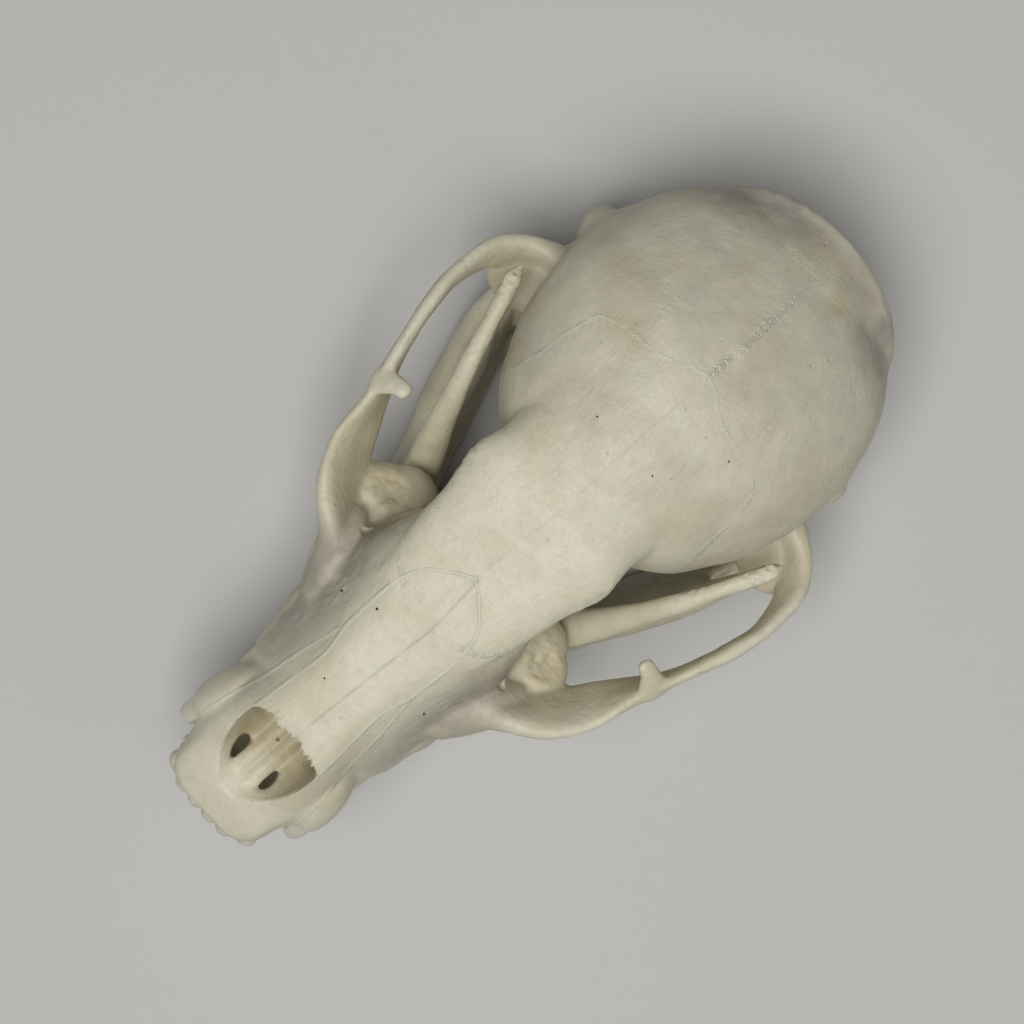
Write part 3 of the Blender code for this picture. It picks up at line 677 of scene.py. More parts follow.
@dataclass(frozen=True)
class Suture:
    """The line where two bones meet, for the left side or the middle."""

    line: tuple[Row, ...]
    view: View
    teeth: float = 0.2
    strength: float = 1.0
    mirrored: bool = True
    # Seen from the side, the line is only on what is further out than this.
    from_x: float = 12.0

    def runs(self) -> list[np.ndarray]:
        """The line's points a quarter of a millimetre apart, once for each side, or once
        right across where it starts in the middle.

        Returns:
            One array of points for each run.
        """
        curve, length = curve_along(self.line, 2)
        count = max(int(length / SUTURE_SPACING), 2)
        run = np.array([curve.at(t) for t in np.linspace(0, length, count)])
        if self.view is View.FROM_SIDE or not self.mirrored:
            return [run]
        mirror = run * (-1, 1)
        if abs(run[0, 0]) < 0.01:
            return [np.concatenate([mirror[:0:-1], run])]
        return [run, mirror]

    def find(self, points: np.ndarray, normals: np.ndarray) -> np.ndarray:
        """Where the points near the line are.

        Args:
            points: Places in millimetres.
            normals: The skin's normals there.

        Returns:
            Signed distance across the line, or 99 where it isn't near, distance along it,
            and how near it is from 0 to 1.
        """
        found = np.zeros((len(points), 3))
        found[:, 0] = NO_SUTURE
        flat = points[:, list(self.view.value[:2])]
        if self.view is View.FROM_ABOVE:
            faces = normals[:, 2] > -0.1
        elif self.view is View.FROM_BELOW:
            faces = normals[:, 2] < 0.1
        else:
            faces = (np.abs(normals[:, 0]) > 0.3) & (np.abs(points[:, 0]) > self.from_x)
        for run in self.runs():
            low, high = run.min(axis=0) - SUTURE_REACH, run.max(axis=0) + SUTURE_REACH
            near = faces & (flat > low).all(axis=1) & (flat < high).all(axis=1)
            chosen = np.flatnonzero(near)
            for start in range(0, len(chosen), CHUNK):
                part = chosen[start : start + CHUNK]
                gaps = np.linalg.norm(flat[part, None] - run[None], axis=2)
                best = np.clip(gaps.argmin(axis=1), 0, len(run) - 2)
                ahead = run[best + 1] - run[best]
                length = np.linalg.norm(ahead, axis=1)
                away = flat[part] - run[best]
                across = (ahead[:, 0] * away[:, 1] - ahead[:, 1] * away[:, 0]) / length
                along = SUTURE_SPACING * best + (ahead * away).sum(axis=1) / length
                gap = gaps.min(axis=1)
                share = np.clip((SUTURE_END - gap) / SUTURE_FADE, 0, 1)
                nearer = (gap < np.abs(found[part, 0])) & (gap < SUTURE_REACH)
                found[part[nearer]] = np.stack([across, along, share], axis=1)[nearer]
        return found


# Sutures in three layers, so that lines that meet are apart in the material.
MIDDLE_SUTURES = (
    # Between the nasal bones.
    Suture(
        ((0.3, 15.2), (0.5, 22.7), (0.8, 29.5), (1.2, 37.8), (0.5, 45.4)),
        View.FROM_ABOVE, teeth=0.05, strength=0.8, mirrored=False,
    ),
    # Down the middle of the forehead, almost closed.
    Suture(
        ((0, 48.6), (0.5, 60), (0.1, 72), (0, 82.6)),
        View.FROM_ABOVE, teeth=0.08, strength=0.35, mirrored=False,
    ),
    # Down the palate, and across the base of the skull.
    Suture(((0, 11.5), (0, 40), (0, 62)), View.FROM_BELOW, 0.08, 0.8, False),
    Suture(((0, 83), (3, 83), (6, 83.6)), View.FROM_BELOW, 0.1, 1),
)
EDGE_SUTURES = (
    # Round the nasal bones.
    Suture(
        (
            (0, 46.2), (2.3, 44.7), (5.6, 41.4), (6.6, 37), (6.4, 31), (5.4, 25.8), (5.9, 19),
            (6.2, 15),
        ),
        View.FROM_ABOVE, teeth=0.04, strength=0.9,
    ),
    # Between the forehead and the crown of the head.
    Suture(
        (
            (0, 83.6), (2, 83), (4.3, 81.5), (7.7, 80.6), (11.2, 80.2), (14.7, 79), (15.8, 74.6),
            (16.4, 70), (17.4, 66),
        ),
        View.FROM_ABOVE, teeth=0.12, strength=0.6,
    ),
    # In front of the crest at the back.
    Suture(
        ((0, 104.2), (5, 103.6), (9.5, 101.6), (13.5, 98.6), (17, 95)),
        View.FROM_ABOVE, teeth=0.25, strength=0.35,
    ),
    # Across the palate.
    Suture(((0, 33.4), (3, 34.4), (5.6, 38), (7, 44)), View.FROM_BELOW, 0.3, 0.8),
)
FINE_SUTURES = (
    # Down the middle of the crown.
    Suture(
        ((0, 84.6), (0.3, 92), (0.2, 98), (0, 102.4)),
        View.FROM_ABOVE, teeth=0.3, strength=0.9, mirrored=False,
    ),
    # Between the bone that carries the front teeth and the upper jaw.
    Suture(
        ((10, 6), (9.3, 13.2), (8.2, 18.7), (7.6, 23.9), (6.9, 28)),
        View.FROM_ABOVE, teeth=0.04, strength=0.9,
    ),
    # Between the upper jaw and the forehead.
    Suture(((6.4, 39.6), (7.9, 40.6), (9.2, 42.2), (11.4, 44.4)), View.FROM_ABOVE, 0.22, 0.7),
    # From the small slots in the palate to the side.
    Suture(((2.6, 9), (5, 9.4), (8, 7.4)), View.FROM_BELOW, 0.1, 0.6),
    # Arch under the eye.
    Suture(
        ((61.5, 22.5), (63.2, 20.2), (66, 18.6), (68.6, 16.2)),
        View.FROM_SIDE, teeth=0.08, from_x=25.0,
    ),
    # Side of the head above the ear.
    Suture(
        ((73, 18.5), (75, 23), (80, 26.4), (88, 26.8), (94, 23.6), (98, 17)),
        View.FROM_SIDE, teeth=0.2, strength=0.5,
    ),
)
# Each layer, how dark its lines are and how pale their ridges.
SUTURE_LAYERS = ((MIDDLE_SUTURES, 0.8, 0.5), (EDGE_SUTURES, 0.3, 1), (FINE_SUTURES, 0.15, 1))


# Tints


@dataclass(frozen=True)
class Tint:
    """A place on both sides, or on one, where the bone's tone changes or shade is painted."""

    centre: Row
    radii: Row
    amount: float
    side: Side | None = None

    def shares(self, points: np.ndarray) -> np.ndarray:
        """How strongly each point takes the tone.

        Args:
            points: Places in millimetres.

        Returns:
            One share for each point.
        """
        share = self.amount * np.sqrt(falloff(points, self.centre, self.radii))
        if self.side is not None:
            share = share * (points[:, 0] * self.side.value > -1.0)
        return share


# Partly the bone's own tan and partly painted shade in the hollows: the nose, the eye sockets,
# under the arches and round the base.
TAN_AND_HOLLOW_SHADE = (
    Tint((0, 17, 12.5), (8, 11, 6.5), 1.2),
    Tint((4.4, 12.5, 10.6), (4.2, 5.4, 3.6), 0.5),
    Tint((15, 47.5, 12), (9, 11, 10), 0.55),
    Tint((26, 78.5, 14), (9.5, 8, 8), 0.6),
    Tint((27.5, 60, 15), (5.5, 18, 7), 0.35),
    Tint((18, 66, 6), (12, 20, 14), 0.55),
    Tint((0, 70, 3), (14, 16, 8), 0.45),
    Tint((0, 108, 14), (8, 6, 7), 0.6),
    Tint((16, 86, 5), (10, 8, 7), 0.35),
    Tint((11, 80.4, 40.4), (5, 3.4, 5), 0.2, Side.RIGHT),
    Tint((20, 76, 30), (5, 7, 12), 0.3),
)
# Partly a greyer tone and partly painted shade: the steep sides of the snout and the head, the
# dome's edges and the back, where less light falls.
GREY_AND_SIDE_SHADE = (
    Tint((13, 31, 15), (7.5, 17, 13), 0.9),
    Tint((13, 41, 22), (6, 9, 9), 0.6),
    Tint((8, 92, 40), (26, 22, 16), 0.4),
    Tint((7, 70, 38), (12, 12, 8), 0.25),
    Tint((14, 106, 30), (14, 8, 12), 0.9),
    Tint((3, 109, 32), (10, 5, 5), 0.7),
    Tint((17, 72, 30), (5, 10, 12), 0.4),
    Tint((22, 92, 20), (8, 16, 16), 0.4),
)
STAIN = (
    Tint((4.5, 103.6, 37.6), (2.2, 2.6, 3), 0.8, Side.LEFT),
    Tint((10.8, 80.2, 40.5), (5, 2.4, 4), 0.3, Side.RIGHT),
    Tint((9.7, 84.9, 41), (1.8, 2, 3), 0.3, Side.LEFT),
    Tint((16.8, 70.5, 26), (3, 5, 8), 0.6),
    Tint((3.6, 44.8, 30), (3, 2.4, 3), 0.3),
)


def store(thing: Thing, name: str, columns: np.ndarray) -> None:
    """Keeps three numbers for each point of a piece for its material.

    Args:
        thing: The piece.
        name: The attribute's name.
        columns: An array with three columns.
    """
    kept = thing.data.attributes.new(name, "FLOAT_VECTOR", "POINT")
    kept.data.foreach_set("vector", np.ascontiguousarray(columns, float).ravel())


def describe_bone(thing: Thing, has_sutures: bool) -> None:
    """Stores the sutures and the tones of a bone in its mesh, while it is in millimetres.

    Args:
        thing: The piece.
        has_sutures: False for a bone with none.
    """
    points, normals = vertex_values(thing, "co"), vertex_values(thing, "normal")
    strengths = np.zeros((len(points), 3))
    for layer, (sutures, _, _) in enumerate(SUTURE_LAYERS):
        seam = np.zeros((len(points), 3))
        seam[:, 0] = NO_SUTURE
        for suture in sutures if has_sutures else ():
            found = suture.find(points, normals)
            nearer = np.abs(found[:, 0]) < np.abs(seam[:, 0])
            seam[nearer, :2] = found[nearer, :2]
            seam[nearer, 2] = suture.teeth
            strengths[nearer, layer] = suture.strength * found[nearer, 2]
        seam[:, 0] = np.clip(seam[:, 0], -SUTURE_LIMIT, SUTURE_LIMIT)
        store(thing, f"seam_{layer}", seam)
    store(thing, "seam_strength", strengths)
    # Tan with painted shade in the hollows, grey with painted shade on the steep sides, and
    # stains.
    tones = [sum(t.shares(points) for t in group) for group in (TAN_AND_HOLLOW_SHADE, GREY_AND_SIDE_SHADE, STAIN)]
    store(thing, "tone", np.clip(np.stack(tones, 1), 0, 1))


def set_down(thing: Thing) -> None:
    """Tips a piece to the way the skull rests and places it in metres.

    Args:
        thing: The piece, in millimetres in the frame of the tooth row.
    """
    place = (
        Matrix.Scale(MM, 4)
        @ Matrix.Translation(REST_PLACE)
        @ Matrix.Rotation(-REST_PITCH, 4, "X")
    )
    thing.data.transform(place)
    # The relief at the outermost places is kept inside the solids' box.
    move_points(thing, np.clip(vertex_values(thing, "co"), *np.array(CAD_BOX)))


def finish_piece(thing: Thing, node: str, material: bpy.types.Material) -> None:
    """Dresses a placed piece and lets it stand for its solid.

    Args:
        thing: The piece.
        node: The solid that it replaces.
        material: Its finish.
    """
    select_only([thing])
    bpy.ops.object.shade_smooth_by_angle(angle=SHARP_ANGLE)
    thing.data.materials.clear()
    thing.data.materials.append(material)
    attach(thing, "root")
    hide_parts(node)
    thing.data.calc_loop_triangles()
    log.info("%s: %d triangles", thing.name, len(thing.data.loop_triangles))


# Upper skull


@dataclass
class SnoutAndFace(Group):
    """The face from the front teeth to the waist behind the eyes."""

    muzzle: Trunk = Trunk(
        (SNOUT_TIP_Y, 1.8, 3.6, 6, 8.2, 10, 12, NASAL_TIP_Y, 20, 25, 30, 35, 40, 45, 49.5),
        (
            (5.2, 4.4, 2.5, 5.6), (7.6, 6.4, 2.3, 6.6), (8.9, 7.4, 2.4, 8.2), (9.6, 7.6, 2.8, 9.9),
            (11, 7.6, 3.2, 11.7), (12.9, 7.5, 3.5, 13.6), (13.9, 7.2, 3.8, 16.2),
            (14, 6.6, 4, 21.8), (13.9, 6.4, 4.1, 23.6), (14.1, 6.6, 4.2, 25.2),
            (15.1, 7.2, 4.3, 26.9), (16, 8.2, 4.5, 28.6), (15.8, 9.8, 4.8, 30.4),
            (14.4, 11, 5, 31.8), (11, 10.5, 5.2, 32.2),
        ),
        squareness=0.5, count=96, flare=0.7,
    )
    brow: Trunk = Trunk(
        (38, 43, 47, 51, 54, 57.5, 60, WAIST_Y, 66, 70, 75),
        (
            (6.4, 10, 14, 29.6), (6.2, 11.7, 14, 31.4), (6, 12.6, 14, 32.8), (6, 13.2, 14.5, 34),
            (6.2, 14.2, 15, 35), (6.8, 15, 15.5, 36.2), (7.8, 14.2, 15, 37), (9, 13.4, 14, 37.8),
            (11, 13.4, 14, 38.9), (12, 14.5, 14, 39.9), (12, 15.5, 14, 40.8),
        ),
        squareness=0.54,
    )
    midwall: Trunk = Trunk(
        (42, 48, 54, 60, 64, 70),
        (
            (10, 10.5, 5, 31), (9, 9.6, 5, 32.5), (7.6, 9, 5.2, 34), (7.2, 9.6, 5.5, 35),
            (7.6, 11, 6, 36), (8, 14, 6, 37),
        ),
    )
    # The flat flanks from the roof of the snout down to the arches.
    flank: Trunk = Trunk(
        (20, 24, 28, 33, 38, 41, 43),
        (
            (13.1, 6, 4.8, 23), (13.5, 6.2, 4.8, 24.6), (14, 6.4, 5, 26), (15, 7, 5.4, 27.6),
            (15.7, 8.4, 6.2, 29.2), (15.2, 9.8, 7.4, 30.4), (14.2, 10.4, 8.6, 31),
        ),
        squareness=0.46, count=96, flare=1.2,
    )
    molar_shelf: Ball = Ball((12.6, 43.2, 8), (6.8, 10.4, 4.6), (0, 0, -6))
    shelf_corner: Ball = Ball((16.2, 44.6, 8.8), (4.2, 6.4, 3.4), (0, 0, -10))
    canine_root: Ball = Ball((10.1, 13.9, 8.5), (2.2, 3.9, 6.8), (-36, -14, 0))
    cheek_root: Ball = Ball((13.6, 36.4, 11), (3.6, 8, 6), (0, 0, -24))
    # The bone round the roots of the cheek teeth, which swells over each of them.
    tooth_bed: Bar = Bar(
        (
            (9.2, 16.6, 5.6, 2, 1.4, 0), (9.8, 18.6, 5.8, 2.6, 2, 0), (10, 20.8, 6, 2.8, 1.9, 0),
            (10.4, 23.4, 6.2, 2.9, 2.4, 0), (10.6, 26, 6.4, 2.9, 2.5, 0),
            (10.8, 29.6, 6.6, 3, 3.2, 0), (11.2, 33.6, 6.8, 3, 3.2, 0), (11.6, 38, 7, 3.2, 3.8, 0),
            (11.8, 43, 7.2, 3.2, 3.8, 0),
        ),
        squareness=0.8, blunt=1.5,
    )


@dataclass
class Braincase(Group):
    """The rounded case of the brain, with its base."""

    case: Trunk = Trunk(
        (
            WAIST_Y - 0.5, WAIST_Y + 1, WAIST_Y + 3, 68, 71, 75, 80, 85, 90, 95, 100, 104, 107,
            109.3,
        ),
        (
            (8.4, 9.4, 12, 35.5), (12.2, 12.8, 10.5, 37.8), (15.3, 15.6, 9.3, 39),
            (17.7, 17.9, 8.4, 40), (19.4, 19.6, 7.6, 40.9), (21.4, 21.6, 6.8, 41.8),
            (22.9, 23.1, 6.3, 42.5), (CASE_HALF_WIDTH - 0.2, CASE_HALF_WIDTH + 0.1, 6, 42.7),
            (CASE_HALF_WIDTH - 0.2, CASE_HALF_WIDTH + 0.1, 6, 42.2), (22.6, 22.9, 6, 41),
            (20.8, 21.2, 6.2, 39.3), (18.5, 18.9, 6.8, 37), (15.8, 16.2, 8, 34.4),
            (12.4, 12.6, 10, 31.6),
        ),
        squareness=0.88, count=96,
    )
    base: Trunk = Trunk(
        (64, 74, 84, 94, 106),
        ((6, 8, 4.8, 12), (6, 9, 4.6, 12), (6.5, 12, 4.6, 12), (9, 14, 4.4, 12), (9, 13, 5, 12)),
        squareness=0.7,
    )
    bulla: Ball = Ball((11.8, 89.4, 5), (6.6, 8.6, 6.6), (0, 0, -18))
    ear_tube: Bar = Bar(
        ((15, 88, 8, 5, 4.6, 0), (20.5, 88.4, 9.4, 4, 3.6, 0), (24, 88.4, 10.2, 3.4, 3, 0))
    )
    throat_wall: Bar = Bar(
        (
            (6.6, 58, 8, 3.4, 1.2, 0), (6.6, 66, 7.6, 4.4, 1.1, 0), (6.6, 73, 6.8, 4.6, 1.1, 0),
            (6.9, 77, 4.4, 2.6, 1, 0), (7.4, 79.4, 2.6, 1.2, 0.9, 0),
        )
    )


@dataclass
class Occiput(Group):
    """The back of the head: its plate, the crest round it, the condyles and processes."""

    plate: Trunk = Trunk(
        (94, 98, 101, 104, 106.6, 108.4),
        (
            (22.4, 16, 5.4, 33), (21, 14.6, 5.5, 33.4), (19.6, 13.2, 5.6, 33.4),
            (18, 11.8, 6.2, 33.2), (15.6, 10.4, 7.4, 32.4), (12.5, 9, 9.5, 30.5),
        ),
        squareness=0.66,
    )
    crest: Flange = Flange(
        (
            (25.8, 92.8, 7.2), (24.2, 95.8, 12.4), (22.1, 99.2, 17.8), (19.6, 102.6, 22.6),
            (16.8, 105.6, 26.2), (13.6, 108.4, 29.6), (9.8, CREST_Y - 1.9, 32.2),
            (4.8, CREST_Y - 0.6, 33.1), (0, CREST_Y - 0.2, 33.5), (-4.8, CREST_Y - 0.6, 33.1),
        ),
        centre=(0, 84.0, 14.0),
    )
    condyle: Ball = Ball((7.2, 108, 9.4), (3.9, 4, 5.4), (-25, 20, 0))
    mastoid: Bar = Bar(
        (
            (21.2, 92.5, 12, 4.6, 4.2, 0), (23, 94, 7.6, 3.8, 3.2, 0),
            (23.9, 95, 2.8, 2.4, 1.9, 0),
        ),
        blunt=2.0,
    )
    mastoid_body: Ball = Ball((19.5, 92.6, 11.5), (5.4, 6.4, 6.4))
    side_process: Bar = Bar(
        ((15, 99.5, 9, 4.4, 4, 0), (16.2, 101, 3, 3, 2.4, 0), (16.8, 102.2, -3, 1.9, 1.5, 0)),
        blunt=1.5,
    )


@dataclass
class CheekArch(Group):
    """The arch from the upper jaw, under the eye, back to the ear."""

    arch: Bar = Bar(
        (
            (13.6, 37.4, 10.5, 5, 4, 0), (17.2, 40.2, 12.4, 5.6, 2.2, 22),
            (20.7, 43.6, 13.2, 5.6, 1.6, 34), (23.6, 47.9, 13.8, 5, 1.25, 34),
            (25.6, 52.8, 15.4, 4.2, 1.15, 22), (27.6, 57.5, 17.6, 3.2, 1.1, 8),
            (29.3, 62.5, 18.8, 2.5, 1, 4), (ARCH_HALF_WIDTH - 1.8, 67.5, 19, 2.4, 1.15, 2),
            (ARCH_HALF_WIDTH - 1.1, 72, 18.5, 2.6, 1.1, 6),
            (ARCH_HALF_WIDTH - 1.5, 76.6, 17.4, 2.8, 1.1, 18), (29.8, 80, 16.4, 2.8, 1.25, 30),
            (27.2, 82.8, 15.8, 2.8, 1.4, 30), (23.5, 84.6, 15.6, 2.8, 2.2, 14),
            (19.5, 85.2, 15.4, 3, 3, 0),
        ),
        squareness=0.78, steps=120, count=40,
    )
    root_shelf: Ball = Ball((24.6, 81, 13.9), (6.6, 5.3, 2.2), (4, 14, -12))
    shelf_fill: Ball = Ball((22.4, 82.2, 12.8), (6.4, 4.8, 2.9), (0, 10, 0))
    joint_lip: Ball = Ball((20.5, 87.2, 9.2), (6, 1.7, 3.2))
    hook: Bar = Bar(
        (
            (28, 55.6, 18, 1.5, 3, 0), (26.6, 56, 19.8, 1.1, 2.1, 0),
            (25, 56.5, 21.2, 0.9, 1.4, 0), (23.1, 56.8, 22, 0.8, 1.25, 0),
        ),
        blunt=0.9,
    )


@dataclass
class LargeHollows(Group):
    """What is open: the nose, the way to the throat, the eye sockets, the tunnels in the face,
    and the ears."""

    nose: Trunk = Trunk(
        (3.8, 4.8, 6, 8, 11, NASAL_TIP_Y - 1.1, NASAL_TIP_Y + 0.1, 22, 30),
        (
            (2.4, 3.4, 8.9, 30), (3.8, 5, 9, 30), (4.8, 6, 9, 30), (5.8, 6.7, 8.9, 30),
            (6.2, 6.7, 8.7, 30), (6.2, 6.2, 8.8, 30), (6, 5.2, 8.8, 20.4), (5.6, 5, 9, 21.6),
            (4.4, 3.8, 11, 22),
        ),
        squareness=0.72,
    )
    inner_nostrils: Trunk = Trunk(
        (60, 66, 74, 84),
        ((3.6, 3.2, 6, 9), (4.8, 4.2, 4.2, 12), (5.2, 4.8, -1, 11.4), (5.2, 4.8, -8, 3)),
    )
    socket: Ball = Ball((17.6, 49.6, 21), (6.4, 8.8, 10.4), (0, 12, -10))
    face_tunnel: Bar = Bar(
        (
            (14.2, 25.5, 10.6, 1.7, 1.3, 0), (15.8, 31.5, 11.2, 1.8, 1.3, 0),
            (16.6, 38, 11.6, 1.6, 1.2, 0),
        )
    )
    ear_hole: Bar = Bar(((16.5, 88.2, 9.2, 1.9, 1.9, 0), (28, 88.4, 10.8, 2.2, 2.2, 0)))


@dataclass
class Hollows:
    """All that is open in the upper skull, down to the small holes for nerves and vessels."""

    large: LargeHollows = field(default_factory=LargeHollows)
    spine_way: Ball = Ball((0, 110.6, 15.6), (6.8, 9, 5.8))
    right_slot: tuple[Row, ...] = (
        (-3.58, 12.22), (-4.26, 11.44), (-3.92, 9.76), (-3.12, 8.30), (-1.98, 7.97), (-1.75, 8.86),
        (-2.44, 10.88), (-2.55, 11.77),
    )
    left_slot: tuple[Row, ...] = (
        (2.31, 12.14), (2.31, 11.13), (1.97, 10.46), (1.40, 10.24), (1.51, 9.45), (0.94, 8.33),
        (1.28, 7.89), (2.65, 8.00), (3.56, 9.01), (3.56, 10.46), (3.11, 11.69),
    )
    # Holes for nerves: place and radii.
    nerve_holes: tuple[Row, ...] = (
        (9.6, 62, 15.5, 1.6, 1.5, 1.1), (9.4, 66.5, 11.4, 1.8, 1.6, 1.3),
        (11.4, 70.4, 8, 1.6, 1.4, 1.2), (12.6, 75.5, 5.9, 1.5, 1.6, 1.6),
        (7.6, 98.6, 4.2, 1.6, 1.9, 1.6), (7.2, 103.4, 5.2, 0.9, 1.1, 1.4),
        (6, 35.6, 4.2, 0.55, 1.1, 1.2), (13.8, 41.4, 16.6, 1.2, 1, 1.5),
        (18.4, 90.8, 3.4, 0.8, 0.8, 1.2),
    )
    # Single pits: place and radius.
    pits: tuple[Row, ...] = (
        (-5.3, 34.6, 27, 0.2), (-3, 23.9, 24.8, 0.14), (-9.9, 33.3, 21, 0.2),
        (-7.6, 26.5, 16, 0.16), (9.3, 30.7, 21, 0.2), (-0.4, 14.5, 10.4, 0.3),
        (-5.4, 70.2, 39.6, 0.14), (4.7, 70.5, 39.8, 0.14), (9.7, 78.8, 41.4, 0.15),
    )

    def tool(self) -> Thing:
        """All the large hollows as one tool.

        Returns:
            The tool.
        """
        made = self.large.forms() + [self.spine_way.build("spine_way")]
        for outline in (self.right_slot, self.left_slot):
            made.append(Block(outline, outline, bottom=0.5, top=11.0).build("palate_slot"))
        return fused("hollows", made, CRISP_EDGE)

    def small_tools(self) -> list[Thing]:
        """One tool for each small hole.

        Returns:
            The tools, a pair for each nerve hole and then the pits.
        """
        made = [
            Ball(row[:3], row[3:], detail=3).build("hole", side)
            for row in self.nerve_holes
            for side in Side
        ]
        for x, y, z, radius in self.pits:
            made.append(Ball((x, y, z), (radius, radius, 1.8), detail=3).build("pit"))
        return made


@dataclass
class Septum(Group):
    """What stands in the nose opening: the two ridges in the middle of its floor, and the
    scrolls further in."""

    ridge: Bar = Bar(
        (
            (1.15, 6.8, 8.3, 0.7, 1.2, 0), (1.2, 8.5, 8.4, 0.8, 1.3, 0),
            (1.2, 12, 8.7, 0.9, 1.3, 0), (1.1, 17, 9, 1.3, 1.1, 0), (0.8, 24, 11, 3, 0.6, 0),
        )
    )
    scroll: Bar = Bar(
        (
            (3.4, 21.5, 13.2, 1.4, 1, 20), (3.3, 24, 13.8, 2.4, 1.4, 10),
            (3, 28.5, 14.4, 3.4, 1.8, 0),
        ),
        blunt=1.2,
    )


CRANIUM_PATCHES = (
    # Edge over the eye, rough where it thins out.
    Patch((13.2, 52, 33), (2.6, 9, 5), 0.26, 1.3, lift=0.12),
    Patch((14, 58.5, 34), (3, 4.5, 4), 0.2, 1.2),
    # Floor of the eye socket, pitted over the roots of the last teeth.
    Patch((15, 47, 12), (6, 6.5, 4), 0.2, 1.7),
    Patch((15.5, 48.5, 12), (4.5, 5, 4), 0.14, 0.8),
    # Sides of the snout.
    Patch((12, 28, 14), (6, 16, 10), 0.07, 1.7),
    # Crest and the plate below it.
    Patch((8, 110, 30), (12, 4, 6), 0.22, 2.2),
    Patch((0, 109, 22), (18, 5, 12), 0.14, 3),
    Patch((23, 95, 8), (5, 5, 8), 0.16, 1.8),
    # Muscle marks under the arch.
    Patch((22, 46, 9), (5, 7, 4), 0.12, 1.4),
    Patch((30, 64, 17), (3, 6, 4), 0.1, 1.6),
    # Hollow in front of the eye socket, and the shallow dish on each side of the forehead.
    Patch((11.5, 33, 20), (5, 9, 8), 0.1, 1.5, lift=-0.15),
    Patch((7, 72, 40), (6, 9, 5), 0.04, 3, lift=-0.3),
    Patch((0, 50, 33), (6, 9, 4), 0.03, 3, lift=-0.3),
    Patch((9, 86, 42), (8, 7, 6), 0.05, 4, lift=0.2),
    Patch((0, 94, 41.5), (2.2, 12, 4), 0.08, 1, lift=0.15),
    Patch((9.7, 84.9, 41), (2.2, 2.4, 3), 0.12, 0.8),
)

NASAL_EDGE = (
    (12.5, 6.4, 17.6), (22, 6.4, 20.6), (30, 6.2, 23.6), (37, 5.2, 25.6), (42, 3.4, 27.4),
    (45.2, 1.2, 28.6),
)
FRONTAL_EDGE = (
    (0, 46.2), (2.6, 45.6), (5.6, 41.6), (8.4, 42.8), (11, 44.6), (15, 46), (20, 52), (20, 60),
    (17.8, 65), (16.4, 70), (15.8, 75), (14.8, 78.8), (11.4, 80), (8, 80.7), (4.6, 81.6),
    (2.2, 83), (0, 83.6),
)
# The occipital bone's edge at one height, and how it moves back from there on.
PLATE_Z = 33.0
PLATE_SLOPE = 0.15
OCCIPITAL_EDGE = (
    (0, 107.6), (5, 107.2), (9.5, 105.8), (13, 103.4), (16, 100.8), (18.8, 98.2), (20.2, 97),
    (20.2, 125), (0, 125),
)


def mirrored_outline(half: tuple[Row, ...], back: float = 0.0) -> tuple[Row, ...]:
    """A closed plan outline from its left half.

    Args:
        half: Points from front to back.
        back: How far the whole outline is moved back.

    Returns:
        The points all round.
    """
    whole = list(half) + [(-x, y) for x, y in reversed(half) if x > 0]
    return tuple((x, y + back) for x, y in whole)


